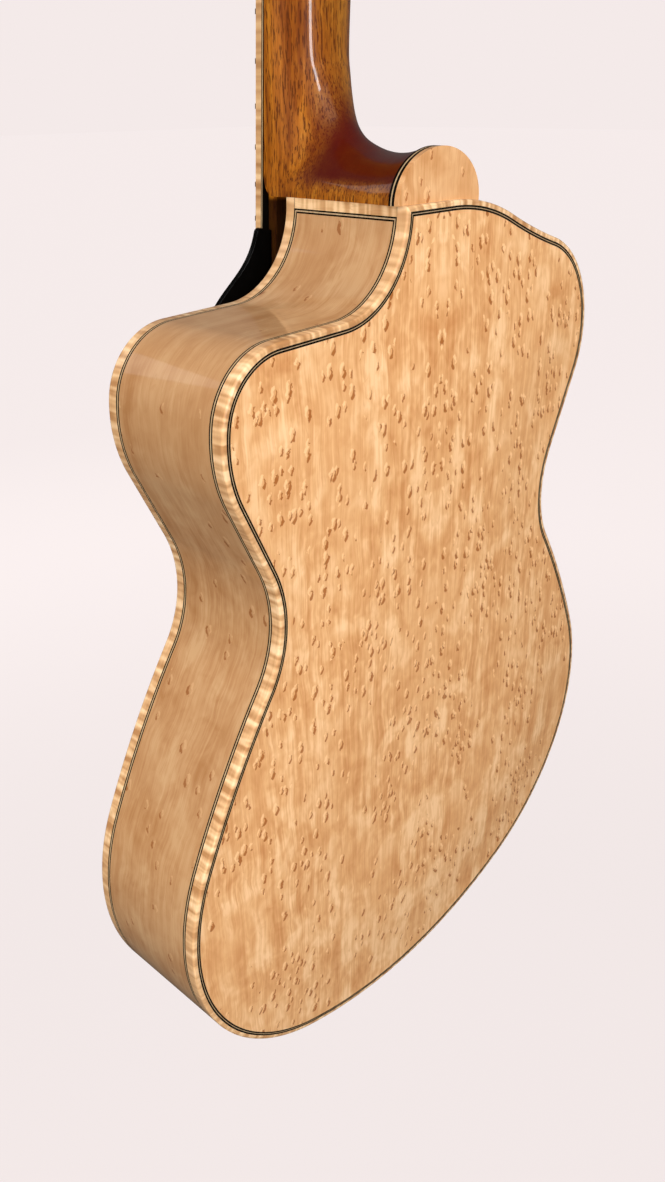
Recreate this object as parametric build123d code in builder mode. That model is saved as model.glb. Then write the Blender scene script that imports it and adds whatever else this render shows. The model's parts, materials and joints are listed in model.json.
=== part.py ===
from build123d import *
import os
from math import atan2, cos, pi, radians, sin

# A carved-top acoustic guitar with one rounded cutaway.
# Frame: the origin is on the neck's centre line at the nut, on the plane that the fingerboard is
# glued to. +Z runs up to the headstock, the soundboard faces -Y, and the cutaway is on the +X side.
# All sizes are in millimetres.

# ---------------------------------------------------------------- scale and neck
SCALE = 648.0                # nut to bridge saddle
FRET_COUNT = 22
BODY_FRET = 14               # the fret over the body's end
FRET_TO_BODY = 4.5           # from that fret down to the body's end
NECK_TILT = 3.2              # the neck leans back from the body by this angle
NUT_HALF_WIDTH = 22.25
EDGE_TAPER = 0.0135          # the fingerboard's half width grows by this much per mm
FRET_RADIUS = 305.0          # crown of the fingerboard
VENEER = 1.5                 # black-white-black veneer under the fingerboard
FINGERBOARD_TOP = 6.5        # playing surface above the gluing plane
FRET_HEIGHT = 1.1
FRET_WIDTH = 2.3
EDGE_BINDING = 2.0

# ---------------------------------------------------------------- body
RIM_DEPTH = 77.0
BACK_Y = 73.0                # outer face of the back at its edge
FRONT_Y = BACK_Y - RIM_DEPTH
RIM = 2.5                    # thickness of the bent sides
BINDING_HEIGHT = 6.0
PURFLING_WIDTH = 2.1
PURFLING_DEPTH = 1.0
PLATE_EDGE = 4.5
BACK_RISE = 2.5
FRONT_RISE_LOW = 8.0         # height of the soundboard's arch under the fingerboard
FRONT_RISE = 17.0            # and under the bridge
LINING_WIDTH = 6.5
LINING_HEIGHT = 14.0

# The outline is a chain of tangent arcs, (radius, turn in degrees), where a negative turn is hollow
# and (length, None) is a straight. It starts at the tail's centre and runs up each side.
LOWER_CHAIN = [(275.5, 22.0), (134.0, 46.9), (123.0, 45.8), (534.0, 10.3), (61.0, -60.0)]
BASS_CHAIN = [(47.5, None), (58.5, 99.1), (396.5, -6.8), (134.5, 22.7)]
TREBLE_CHAIN = [(40.64, None), (65.0, 33.6), (35.5, 79.9), (40.5, None), (43.5, -88.5)]

os.makedirs("parts", exist_ok=True)


def save(piece, name):
    """Label a finished piece and write it as one STEP file."""
    piece.label = name
    export_step(piece, f"parts/{name}.step")


def fret_distance(number):
    """Distance from the nut to a fret."""
    return SCALE * (1 - 2 ** (-number / 12))


def edge_half_width(distance):
    """Half width of the fingerboard at a distance below the nut."""
    return NUT_HALF_WIDTH + EDGE_TAPER * distance


# ---------------------------------------------------------------- planes
TILT = radians(NECK_TILT)
NECK = Plane(origin=(0, 0, 0), x_dir=(1, 0, 0), z_dir=(0, -cos(TILT), sin(TILT)))
TOP_Z = -(fret_distance(BODY_FRET) + FRET_TO_BODY) * cos(TILT)


def rim_plane(y):
    """A plane parallel to the back, at height y, that faces the soundboard's side."""
    return Plane.XZ.offset(-y)


def neck_point(x, distance, height):
    """World point at a distance below the nut and a height above the fingerboard's gluing plane."""
    return NECK.from_local_coords(Vector(x, -distance, height))


def neck_section(distance):
    """Plane across the neck, whose own y axis points to the back of the neck."""
    return Plane(origin=neck_point(0, distance, 0), x_dir=(1, 0, 0), z_dir=NECK.y_dir)


# ---------------------------------------------------------------- body outline
def draw_chain(point, heading, chain, side):
    """Draw tangent arcs and straights from a point, and return where they end."""
    for size, turn in chain:
        direction = Vector(side * cos(radians(heading)), sin(radians(heading)))
        if turn is None:
            stretch = Line(point, point + direction * size)
        else:
            stretch = JernArc(start=point, tangent=direction, radius=size, arc_size=side * turn)
            heading += turn
        point = stretch @ 1
    return point


with BuildSketch() as outline_at_zero:
    with BuildLine():
        bass_end = draw_chain(Vector(0, 0), 0, LOWER_CHAIN + BASS_CHAIN, -1)
        treble_end = draw_chain(Vector(0, 0), 0, LOWER_CHAIN + TREBLE_CHAIN, 1)
        corner = Vector(treble_end.X, bass_end.Y)
        Line(bass_end, corner)
        Line(corner, treble_end)
    make_face()

TAIL_Z = TOP_Z - bass_end.Y
HEEL_SIDE = corner.X         # the cutaway side ends here, beside the heel
OUTLINE = outline_at_zero.sketch.moved(Location((0, TAIL_Z, 0)))


def inset(distance):
    """The body's outline moved inwards, on the sketch plane."""
    if distance == 0:
        return OUTLINE
    return offset(OUTLINE, amount=-distance, kind=Kind.INTERSECTION, mode=Mode.PRIVATE)


def band(outer, inner, y_back, y_front):
    """A band that follows the outline between two insets and two heights."""
    with BuildPart() as made:
        with BuildSketch(rim_plane(y_back)):
            add(inset(outer))
            add(inset(inner), mode=Mode.SUBTRACT)
        extrude(amount=y_back - y_front)
    return made.part


def block(x_range, y_range, z_range):
    """A plain rectangular block between pairs of coordinates."""
    with BuildPart(Plane(origin=(x_range[0], y_range[0], z_range[0]))) as made:
        Box(
            x_range[1] - x_range[0],
            y_range[1] - y_range[0],
            z_range[1] - z_range[0],
            align=(Align.MIN, Align.MIN, Align.MIN),
        )
    return made.part


def cylinder_between(start, end, radius):
    """A round bar between two points."""
    run = Vector(*end) - Vector(*start)
    with BuildPart() as made:
        with BuildSketch(Plane(origin=start, z_dir=run)):
            Circle(radius)
        extrude(amount=run.length)
    return made.part


# ---------------------------------------------------------------- end pin
PIN_Y = (BACK_Y + FRONT_Y) / 2
PIN_SHANK_LENGTH = 24.0      # tapered shank inside the tail block
PIN_SHANK_TIP = 3.2
PIN_SHANK_ROOT = 4.6
PIN_FLANGE = 8.5
PIN_FLANGE_LOW = 0.4         # the flange is let into the side by this much
PIN_FLANGE_RIM = 0.6
PIN_WAIST_START = 1.2
PIN_WAIST = 4.8
PIN_HEAD_START = 12.2
PIN_HEAD = 7.4
PIN_HEAD_END = 16.2
PIN_END = 17.7
with BuildPart() as end_pin:
    with BuildSketch(Plane.XZ):
        with BuildLine():
            Polyline(
                (0, PIN_SHANK_LENGTH),
                (PIN_SHANK_TIP, PIN_SHANK_LENGTH),
                (PIN_SHANK_ROOT, PIN_FLANGE_LOW),
                (PIN_FLANGE, PIN_FLANGE_LOW),
                (PIN_FLANGE, -PIN_FLANGE_RIM),
                (PIN_HEAD, -PIN_WAIST_START),
                (PIN_WAIST, -PIN_WAIST_START),
                (PIN_WAIST, 0.7 - PIN_HEAD_START),
                (PIN_HEAD, -PIN_HEAD_START),
                (PIN_HEAD, -PIN_HEAD_END),
                (PIN_HEAD - 1.8, -PIN_END),
                (0, -PIN_END),
                close=True,
            )
        make_face()
    revolve(axis=Axis.Z)
end_pin = Pos(0, PIN_Y, TAIL_Z) * end_pin.part
save(end_pin, "end_pin")

# ---------------------------------------------------------------- sides
SIDE_BACK = BACK_Y - BINDING_HEIGHT
SIDE_FRONT = FRONT_Y + BINDING_HEIGHT
TREBLE_ZONE = block((0, 300), (FRONT_Y - 30, BACK_Y + 30), (TAIL_Z - 30, TOP_Z - RIM))
END_STRIP = 4.8              # the crosswise binding at the heel end of the cutaway side
end_binding_zone = block(
    (HEEL_SIDE - RIM, HEEL_SIDE), (SIDE_FRONT, SIDE_BACK), (TOP_Z - END_STRIP, TOP_Z)
)
end_purfling_zone = block(
    (HEEL_SIDE - PURFLING_DEPTH, HEEL_SIDE),
    (SIDE_FRONT + PURFLING_WIDTH, SIDE_BACK - PURFLING_WIDTH),
    (TOP_Z - END_STRIP - PURFLING_WIDTH, TOP_Z - END_STRIP),
)
TENON_HALF = 12.0
TENON_DEPTH = 16.0
TENON_Y = (8.0, 54.0)
tenon_zone = block((-TENON_HALF, TENON_HALF), TENON_Y, (TOP_Z - TENON_DEPTH, TOP_Z))

side_purfling = band(0, PURFLING_DEPTH, SIDE_BACK, SIDE_BACK - PURFLING_WIDTH)
side_purfling += band(0, PURFLING_DEPTH, SIDE_FRONT + PURFLING_WIDTH, SIDE_FRONT)
side_purfling -= end_binding_zone
bent_sides = band(0, RIM, SIDE_BACK, SIDE_FRONT)
bent_sides -= side_purfling
bent_sides -= end_binding_zone
bent_sides -= end_purfling_zone
bent_sides -= tenon_zone
bent_sides -= end_pin
save(bent_sides & TREBLE_ZONE, "treble_side")
save(bent_sides - TREBLE_ZONE, "bass_side")
save(side_purfling, "side_purfling")
save(end_binding_zone, "cutaway_end_binding")
save(end_purfling_zone, "cutaway_end_purfling")

# ---------------------------------------------------------------- tail saddle, cut into the edge
SADDLE_HALF = 15.0
SADDLE_LONG = 6.0            # length of the tail saddle along the soundboard
SADDLE_PROUD = 2.0           # it stands above the edge by this much
SADDLE_ROUND = 1.8
INNER_BACK = BACK_Y - PLATE_EDGE
INNER_FRONT = FRONT_Y + PLATE_EDGE
saddle_height = (FRONT_Y - SADDLE_PROUD, INNER_FRONT)
tail_saddle = block((-SADDLE_HALF, SADDLE_HALF), saddle_height, (TAIL_Z, TAIL_Z + SADDLE_LONG))
outer_edge = tail_saddle.edges().filter_by(Axis.X).group_by(Axis.Z)[0].sort_by(Axis.Y)[:1]
tail_saddle = fillet(outer_edge, SADDLE_ROUND)
tail_notch = block((-SADDLE_HALF, SADDLE_HALF), saddle_height, (TAIL_Z - 4, TAIL_Z + SADDLE_LONG))
save(tail_saddle, "tail_saddle")

# ---------------------------------------------------------------- bindings and purflings
back_binding = band(0, RIM, BACK_Y, SIDE_BACK)
front_binding = band(0, RIM, SIDE_FRONT, FRONT_Y) - tail_notch
back_purfling = band(RIM, RIM + PURFLING_WIDTH, BACK_Y, BACK_Y - PURFLING_DEPTH)
front_purfling = band(RIM, RIM + PURFLING_WIDTH, FRONT_Y + PURFLING_DEPTH, FRONT_Y) - tail_notch
save(back_binding, "back_binding")
save(front_binding, "front_binding")
save(back_purfling, "back_purfling")
save(front_purfling, "front_purfling")

# ---------------------------------------------------------------- blocks and linings
NECK_BLOCK_LENGTH = 52.0
NECK_BLOCK_WIDTH = 61.5
TAIL_BLOCK_WIDTH = 76.0
TAIL_BLOCK_LENGTH = 22.0
with BuildPart() as neck_block:
    with BuildSketch(rim_plane(INNER_BACK)):
        with Locations((HEEL_SIDE, TOP_Z - NECK_BLOCK_LENGTH)):
            Rectangle(NECK_BLOCK_WIDTH, NECK_BLOCK_LENGTH + 8, align=(Align.MAX, Align.MIN))
        add(inset(RIM), mode=Mode.INTERSECT)
    extrude(amount=INNER_BACK - INNER_FRONT)
neck_block = neck_block.part - tenon_zone - end_binding_zone
with BuildPart() as tail_block:
    with BuildSketch(rim_plane(INNER_BACK)):
        with Locations((0, TAIL_Z)):
            Rectangle(TAIL_BLOCK_WIDTH, 2 * TAIL_BLOCK_LENGTH)
        add(inset(RIM), mode=Mode.INTERSECT)
    extrude(amount=INNER_BACK - INNER_FRONT)
save(neck_block, "neck_block")
save(tail_block.part - end_pin, "tail_block")

tail_gap = (-TAIL_BLOCK_WIDTH / 2, TAIL_BLOCK_WIDTH / 2)
neck_gap = (HEEL_SIDE - NECK_BLOCK_WIDTH, HEEL_SIDE)
block_gaps = [
    block(tail_gap, (FRONT_Y, BACK_Y), (TAIL_Z - 5, TAIL_Z + TAIL_BLOCK_LENGTH)),
    block(neck_gap, (FRONT_Y, BACK_Y), (TOP_Z - NECK_BLOCK_LENGTH, TOP_Z + 5)),
]


def lining(y_back, y_front):
    """A lining strip glued round the inside of the sides, open at the two blocks."""
    strip = band(RIM, RIM + LINING_WIDTH, y_back, y_front)
    for gap in block_gaps:
        strip -= gap
    return strip


save(lining(INNER_BACK, INNER_BACK - LINING_HEIGHT), "back_lining")
save(lining(INNER_FRONT + LINING_HEIGHT, INNER_FRONT), "front_lining")

# ---------------------------------------------------------------- plates
def inner_slab(distance, y_back, y_front):
    """A flat slab that fills the outline's inset between two heights."""
    with BuildPart() as made:
        with BuildSketch(rim_plane(y_back)):
            add(inset(distance))
        extrude(amount=y_back - y_front)
    return made.part


def raised_field(foot, top, y_foot, y_top, z_limit):
    """A low field with sloping sides, from one inset at its foot to another at its top."""
    with BuildPart() as made:
        for distance, y in ((foot, y_foot), (top, y_top)):
            with BuildSketch(rim_plane(y)):
                add(inset(distance))
                with Locations((0, z_limit - (distance - foot))):
                    Rectangle(500, 900, align=(Align.CENTER, Align.MIN), mode=Mode.SUBTRACT)
        loft(ruled=True)
    return made.part


def arched_plate(y_edge, side, fields):
    """A plate with a flat edge and raised fields, hollow below; side is +1 behind, -1 in front."""
    y_under = y_edge - side * PLATE_EDGE
    plate = inner_slab(RIM, max(y_edge, y_under), min(y_edge, y_under))
    for foot, top, low, high, z_limit in fields:
        plate += raised_field(foot, top, y_edge + side * low, y_edge + side * high, z_limit)
    for foot, top, low, high, z_limit in fields:
        hollow_foot = y_under + side * low
        hollow_top = y_under + side * high
        plate -= raised_field(foot + 3, top + 1, hollow_foot, hollow_top, z_limit - 4)
    return plate


ABOVE_ALL = TOP_Z + 100
HIGH_FIELD_TOP = TOP_Z - 130  # the highest field stops below the end of the fingerboard
back_plate = arched_plate(BACK_Y, 1, [(14, 30, 0, BACK_RISE, ABOVE_ALL)]) - back_purfling
soundboard = arched_plate(
    FRONT_Y,
    -1,
    [
        (14, 30, 0, FRONT_RISE_LOW, ABOVE_ALL),
        (32, 50, FRONT_RISE_LOW, FRONT_RISE, HIGH_FIELD_TOP),
    ],
)
soundboard = soundboard - front_purfling - tail_notch

BRIDGE_DISTANCE = SCALE + 2.0
BRIDGE_Z = neck_point(0, BRIDGE_DISTANCE, 0).Z
HOLE_PATH = [(62, 66), (70, 58), (75, 0), (84, -54), (94, -60)]  # across and along, from the bridge
HOLE_WIDTH = 7.0
UPPER_EYE_RADIUS = 6.5
LOWER_EYE_RADIUS = 8.0
with BuildPart() as sound_holes:
    with BuildSketch(rim_plane(INNER_FRONT + 5)):
        for side in (-1, 1):
            with BuildLine():
                Spline([(side * x, z + BRIDGE_Z) for x, z in HOLE_PATH])
            trace(line_width=HOLE_WIDTH)
        with Locations((60, BRIDGE_Z + 62), (-60, BRIDGE_Z + 62)):
            Circle(UPPER_EYE_RADIUS)
        with Locations((95, BRIDGE_Z - 56), (-95, BRIDGE_Z - 56)):
            Circle(LOWER_EYE_RADIUS)
    extrude(amount=INNER_FRONT + 5 - FRONT_Y + 2 * FRONT_RISE)
soundboard -= sound_holes.part

bass_half = block((-300, 0), (FRONT_Y - 60, BACK_Y + 60), (TAIL_Z - 30, TOP_Z + 30))
treble_half = block((0, 300), (FRONT_Y - 60, BACK_Y + 60), (TAIL_Z - 30, TOP_Z + 30))
save(back_plate & bass_half, "back_bass_half")
save(back_plate & treble_half, "back_treble_half")
save(soundboard & bass_half, "soundboard_bass_half")
save(soundboard & treble_half, "soundboard_treble_half")

# two tone bars under the high field, each a little nearer the centre at its upper end
BAR_TOP_Y = FRONT_Y - FRONT_RISE + PLATE_EDGE
BAR_HEIGHT = 9.0
BAR_WIDTH = 7.0
BAR_LENGTH = 230.0
BAR_SPREAD = 38.0            # from the centre to each bar's middle
BAR_LEAN = 4.0               # degrees
with BuildPart() as tone_bars:
    with BuildSketch(rim_plane(BAR_TOP_Y + BAR_HEIGHT)):
        for side in (-1, 1):
            with Locations(Location((side * BAR_SPREAD, BRIDGE_Z - 5), side * BAR_LEAN)):
                Rectangle(BAR_WIDTH, BAR_LENGTH)
    extrude(amount=BAR_HEIGHT)
save(tone_bars.part, "tone_bars")

# ---------------------------------------------------------------- neck and heel
NECK_DEPTH_NUT = 14.5        # wood behind the fingerboard
NECK_DEPTH_HEEL = 21.6
CAP_Y = BACK_Y - 2.4         # outer face of the heel cap
CAP_THICKNESS = 2.6
HEEL_VENEER = 3.4
HEEL_END_Y = CAP_Y - CAP_THICKNESS - HEEL_VENEER
CAP_HALF_WIDTH = 31.2
CAP_HEIGHT = 23.6
SHAFT_END = 375.0            # the plain shaft stops here, inside the heel
TONGUE_START = 345.0
TONGUE_END = 458.0           # the neck runs on under the fingerboard, clear of the soundboard
TONGUE_HALF = 23.0
TONGUE_THICKNESS = 5.5
# (height y, half width, rise above the body's end) of the heel, from the neck to the cap
HEEL_SECTIONS = [
    (-14, 25.0, 100.0),
    (2, 26.0, 54.0),
    (9, 26.5, 34.0),
    (19, 27.0, 26.0),
    (31, 27.4, 21.4),
    (43, 28.0, 19.6),
    (54, 29.2, 20.6),
    (HEEL_END_Y, 31.0, 23.2),
]
CAP_FOOT = 2.5               # the bass shoulder falls away, and the cap runs down to meet it
wedge_start = bass_end.X - 4  # the wedge is cut off where it is thinner than a shaving
body_slab = inner_slab(0, BACK_Y, FRONT_Y)


def half_ellipse(half_width, height):
    """A half ellipse that stands on the x axis."""
    with BuildSketch() as shape:
        with BuildLine():
            Line((-half_width, 0), (half_width, 0))
            EllipticalCenterArc((0, 0), half_width, height, start_angle=0, arc_size=180)
        make_face()
    return shape.sketch


with BuildPart() as neck_shaft:
    for distance, depth in ((-2, NECK_DEPTH_NUT), (SHAFT_END, NECK_DEPTH_HEEL)):
        with BuildSketch(neck_section(distance)):
            add(half_ellipse(edge_half_width(distance), depth))
    loft(ruled=True)
with BuildPart() as heel:
    for y, half_width, height in HEEL_SECTIONS:
        with BuildSketch(Plane(origin=(0, y, TOP_Z), x_dir=(1, 0, 0), z_dir=(0, -1, 0))):
            add(half_ellipse(half_width, height))
    loft()
with BuildPart() as tongue:
    with BuildSketch(NECK):
        with Locations((0, -TONGUE_START)):
            Rectangle(2 * TONGUE_HALF, TONGUE_END - TONGUE_START, align=(Align.CENTER, Align.MAX))
    extrude(amount=-TONGUE_THICKNESS)
below_body_end = block((-60, 60), (-80, 100), (TOP_Z - 150, TOP_Z))
front_of_board = NECK.location * block((-60, 60), (-600, 100), (0, 60))

# ---------------------------------------------------------------- headstock
HEAD_TILT = 14.0
NUT_THICKNESS = 5.0
HEAD_THICKNESS = 14.0
HEAD_VENEER = 2.0
HEAD_LENGTH = 178.0
HEAD_START = -8.0            # the outline begins inside the neck
HEAD_FLARE = [(24.5, 12.0), (35.5, 30.0)]
HEAD_TOP_HALF = 29.5
CROWN_CORNER = 12.0          # the corners and shoulders of the crown, below its tip
CROWN_SHOULDER = (17.0, 8.0)
HEAD_ANGLE = TILT + radians(HEAD_TILT)
HEAD = Plane(
    origin=NECK.from_local_coords(Vector(0, NUT_THICKNESS, -HEAD_VENEER)),
    x_dir=(1, 0, 0),
    z_dir=(0, -cos(HEAD_ANGLE), sin(HEAD_ANGLE)),
)


def head_outline():
    """Half of the headstock, mirrored: it flares from the nut, narrows, and ends in a low crown."""
    with BuildSketch() as shape:
        with BuildLine():
            shoulder = Line((0, HEAD_START), (edge_half_width(HEAD_START), HEAD_START))
            flare = Spline([shoulder @ 1] + HEAD_FLARE, tangents=[(0, 1), (1, 1.2)])
            flank = Line(flare @ 1, (HEAD_TOP_HALF, HEAD_LENGTH - CROWN_CORNER))
            crown_middle = (CROWN_SHOULDER[0], HEAD_LENGTH - CROWN_SHOULDER[1])
            ThreePointArc(flank @ 1, crown_middle, (0, HEAD_LENGTH))
            mirror(about=Plane.YZ)
        make_face()
    return shape.sketch


with BuildPart() as head_wood:
    with BuildSketch(HEAD):
        add(head_outline())
    extrude(amount=-HEAD_THICKNESS)
above_nut = NECK.location * block((-60, 60), (0, 260), (-80, 0))
neck = neck_shaft.part + heel.part - below_body_end - front_of_board
neck += tongue.part
neck += tenon_zone
neck += head_wood.part & above_nut

# ---------------------------------------------------------------- truss rod, its nut and cover
ROD_SIZE = 6.0
ROD_COVER = 0.5              # wood over the rod
ROD_END = 372.0
STUD_RADIUS = 1.8
STUD_LENGTH = 7.0
ROD_NUT_RADIUS = 3.2
ROD_NUT_BORE = 1.85
ROD_NUT_BORE_DEPTH = 7.2     # the nut is threaded to here, with a hexagon socket beyond
ROD_NUT_LENGTH = 9.0
SOCKET_RADIUS = 2.2
POCKET_RADIUS = 3.9
POCKET_LENGTH = 14.0
POCKET_OPENING = 24.0
NUT_START = 0.3              # clearance between the nut and the rod's end
with BuildPart() as rod_channel:
    with BuildSketch(NECK):
        with Locations((0, -ROD_END)):
            Rectangle(ROD_SIZE, ROD_END + 2, align=(Align.CENTER, Align.MIN))
    extrude(amount=-(ROD_SIZE + 2))
with BuildPart() as truss_rod:
    with BuildSketch(NECK.offset(-ROD_COVER)):
        with Locations((0, -ROD_END)):
            Rectangle(ROD_SIZE, ROD_END, align=(Align.CENTER, Align.MIN))
    extrude(amount=-ROD_SIZE)
rod_middle = -ROD_COVER - ROD_SIZE / 2
rod_section = Plane(origin=neck_point(0, 0, rod_middle), x_dir=(1, 0, 0), z_dir=NECK.y_dir)
with BuildPart() as rod_pocket:
    with BuildSketch(rod_section):
        Circle(POCKET_RADIUS)
    extrude(amount=POCKET_LENGTH)
    with BuildSketch(NECK.offset(rod_middle)):
        Rectangle(2 * POCKET_RADIUS, POCKET_OPENING, align=(Align.CENTER, Align.MIN))
    extrude(amount=POCKET_LENGTH)
with BuildPart() as truss_rod_stud:
    with BuildSketch(rod_section):
        Circle(STUD_RADIUS)
    extrude(amount=STUD_LENGTH)
with BuildPart() as truss_rod_nut:
    with BuildSketch(rod_section.offset(NUT_START)):
        Circle(ROD_NUT_RADIUS)
        Circle(ROD_NUT_BORE, mode=Mode.SUBTRACT)
    extrude(amount=ROD_NUT_BORE_DEPTH - NUT_START)
    with BuildSketch(rod_section.offset(ROD_NUT_BORE_DEPTH)):
        Circle(ROD_NUT_RADIUS)
        RegularPolygon(SOCKET_RADIUS, 6, mode=Mode.SUBTRACT)
    extrude(amount=ROD_NUT_LENGTH - ROD_NUT_BORE_DEPTH)
neck = neck - rod_channel.part - rod_pocket.part
save(truss_rod.part + truss_rod_stud.part, "truss_rod")
save(truss_rod_nut.part, "truss_rod_nut")

# ---------------------------------------------------------------- heel cap
def cap_slab(y_outer, thickness):
    """A slab in the shape of the heel's end."""
    with BuildPart() as made:
        with BuildSketch(Plane(origin=(0, y_outer, TOP_Z), x_dir=(1, 0, 0), z_dir=(0, -1, 0))):
            add(half_ellipse(CAP_HALF_WIDTH, CAP_HEIGHT))
        extrude(amount=thickness)
    below = (TOP_Z - CAP_FOOT, TOP_Z)
    foot = block((-CAP_HALF_WIDTH, wedge_start), (y_outer - thickness, y_outer), below)
    return made.part + (foot - body_slab)


save(cap_slab(CAP_Y, CAP_THICKNESS), "heel_cap")
save(cap_slab(CAP_Y - CAP_THICKNESS, HEEL_VENEER), "heel_veneers")

# ---------------------------------------------------------------- fingerboard, binding and frets
BOARD_END = fret_distance(FRET_COUNT) + 8.0


def board_slab(low, high, narrower, shorter):
    """The fingerboard's tapered outline as a slab between two heights."""
    with BuildPart() as made:
        with BuildSketch(NECK.offset(low)):
            with BuildLine():
                end = BOARD_END - shorter
                near = edge_half_width(0) - narrower
                far = edge_half_width(end) - narrower
                Polyline((-near, 0), (near, 0), (far, -end), (-far, -end), close=True)
            make_face()
        extrude(amount=high - low)
    return made.part


crown_section = neck_section(-2)
with BuildPart() as crown:
    with BuildSketch(crown_section):
        with Locations((0, FRET_RADIUS - FINGERBOARD_TOP)):
            Circle(FRET_RADIUS)
    extrude(amount=-(BOARD_END + 10))
with BuildPart() as fret_crown:
    with BuildSketch(crown_section):
        with Locations((0, FRET_RADIUS - FINGERBOARD_TOP)):
            Circle(FRET_RADIUS + FRET_HEIGHT)
            Circle(FRET_RADIUS, mode=Mode.SUBTRACT)
    extrude(amount=-(BOARD_END + 10))

fingerboard = board_slab(VENEER, FINGERBOARD_TOP, EDGE_BINDING, EDGE_BINDING) & crown.part
board_binding = (board_slab(VENEER, FINGERBOARD_TOP, 0, 0) & crown.part) - fingerboard
with BuildPart() as fret_blanks:
    for number in range(1, FRET_COUNT + 1):
        with BuildSketch(NECK.offset(FINGERBOARD_TOP - 2)):
            with Locations((0, -fret_distance(number))):
                Rectangle(2 * edge_half_width(fret_distance(number)) - 1.2, FRET_WIDTH)
        extrude(amount=4)
frets = fret_blanks.part & fret_crown.part

INLAY_FRETS = [3, 5, 7, 9, 12, 15, 17, 19]
with BuildPart() as inlay_blanks:
    for number in INLAY_FRETS:
        above = fret_distance(number - 1) + FRET_WIDTH
        below = fret_distance(number) - FRET_WIDTH
        with BuildSketch(NECK.offset(FINGERBOARD_TOP - 2.2)):
            with Locations((0, -(above + below) / 2)):
                Rectangle(edge_half_width(above) * 1.35, (below - above) * 0.62)
        extrude(amount=4)
inlays = inlay_blanks.part & crown.part
fingerboard -= inlays
save(fingerboard, "fingerboard")
save(board_binding, "fingerboard_binding")
save(board_slab(0, VENEER, 0, 0), "fingerboard_veneer")
save(frets, "frets")
save(inlays, "position_inlays")

# ---------------------------------------------------------------- nut, headstock face, rod cover
STRING_GAUGES = [1.37, 1.07, 0.81, 0.61, 0.41, 0.30]   # bass to treble, diameters
STRING_ORDER = [-2.5, -1.5, -0.5, 0.5, 1.5, 2.5]
NUT_PITCH = 7.2
SADDLE_PITCH = 10.4
TAIL_PITCH = 9.6
NUT_STRING = FINGERBOARD_TOP + 1.9      # string centres above the gluing plane at the nut
with BuildPart() as nut:
    with BuildSketch(NECK):
        Rectangle(2 * NUT_HALF_WIDTH, NUT_THICKNESS, align=(Align.CENTER, Align.MIN))
    extrude(amount=FINGERBOARD_TOP + 2.2)
nut = nut.part

with BuildPart() as head_veneer:
    with BuildSketch(HEAD):
        add(head_outline())
    extrude(amount=HEAD_VENEER)
above_nut_face = NECK.location * block((-60, 60), (NUT_THICKNESS, 260), (-80, 60))
head_veneer = (head_veneer.part & above_nut_face) - rod_pocket.part

COVER_START = 7.0
COVER_LENGTH = 33.0
COVER_SHOULDER = 16.0
COVER_FOOT_HALF = 9.0
COVER_WAIST_HALF = 7.5
COVER_THICKNESS = 1.8
with BuildPart() as truss_cover:
    with BuildSketch(HEAD.offset(HEAD_VENEER)):
        with BuildLine():
            foot = Line((-COVER_FOOT_HALF, COVER_START), (COVER_FOOT_HALF, COVER_START))
            shoulder_z = COVER_START + COVER_SHOULDER
            flank = Line(foot @ 1, (COVER_WAIST_HALF, shoulder_z))
            crest = (0, COVER_START + COVER_LENGTH)
            arch = ThreePointArc(flank @ 1, crest, (-COVER_WAIST_HALF, shoulder_z))
            Line(arch @ 1, foot @ 0)
        make_face()
    extrude(amount=COVER_THICKNESS)
SCREW_SPOTS = [(-5.8, COVER_START + 3), (5.8, COVER_START + 3), (0, COVER_START + COVER_LENGTH - 6)]
SMALL_SCREW_HEAD = 1.9
SMALL_SCREW_SHANK = 0.9
SMALL_SCREW_LENGTH = 8.0


def wood_screw(plane, spot, head_radius, shank_radius, length):
    """A round-headed wood screw with a slot, standing on a plane."""
    origin = plane.from_local_coords(Vector(spot[0], spot[1], 0))
    seat = Plane(origin=origin, x_dir=plane.x_dir, z_dir=plane.z_dir)
    head_height = head_radius * 0.5
    with BuildPart() as made:
        with BuildSketch(seat):
            Circle(head_radius)
        extrude(amount=head_height)
        fillet(made.edges().filter_by(GeomType.CIRCLE).sort_by(lambda e: -e.center().Y)[-1], 0.1)
        with BuildSketch(seat.offset(head_height)):
            Rectangle(head_radius * 2, head_radius * 0.3)
        extrude(amount=-head_radius * 0.22, mode=Mode.SUBTRACT)
        with BuildSketch(seat):
            Circle(shank_radius)
        extrude(amount=-length)
    return made.part


def screw_hole(plane, spot, shank_radius, length):
    """The hole that a screw's shank fills."""
    start = plane.from_local_coords(Vector(spot[0], spot[1], 1))
    end = plane.from_local_coords(Vector(spot[0], spot[1], -length))
    return cylinder_between(start, end, shank_radius)


cover_plane = HEAD.offset(HEAD_VENEER + COVER_THICKNESS)
truss_cover = truss_cover.part
small_screws = []
for spot in SCREW_SPOTS:
    small_screws.append(
        wood_screw(cover_plane, spot, SMALL_SCREW_HEAD, SMALL_SCREW_SHANK, SMALL_SCREW_LENGTH)
    )
    hole = screw_hole(cover_plane, spot, SMALL_SCREW_SHANK, SMALL_SCREW_LENGTH)
    truss_cover -= hole
    head_veneer -= hole
    neck -= hole

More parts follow.
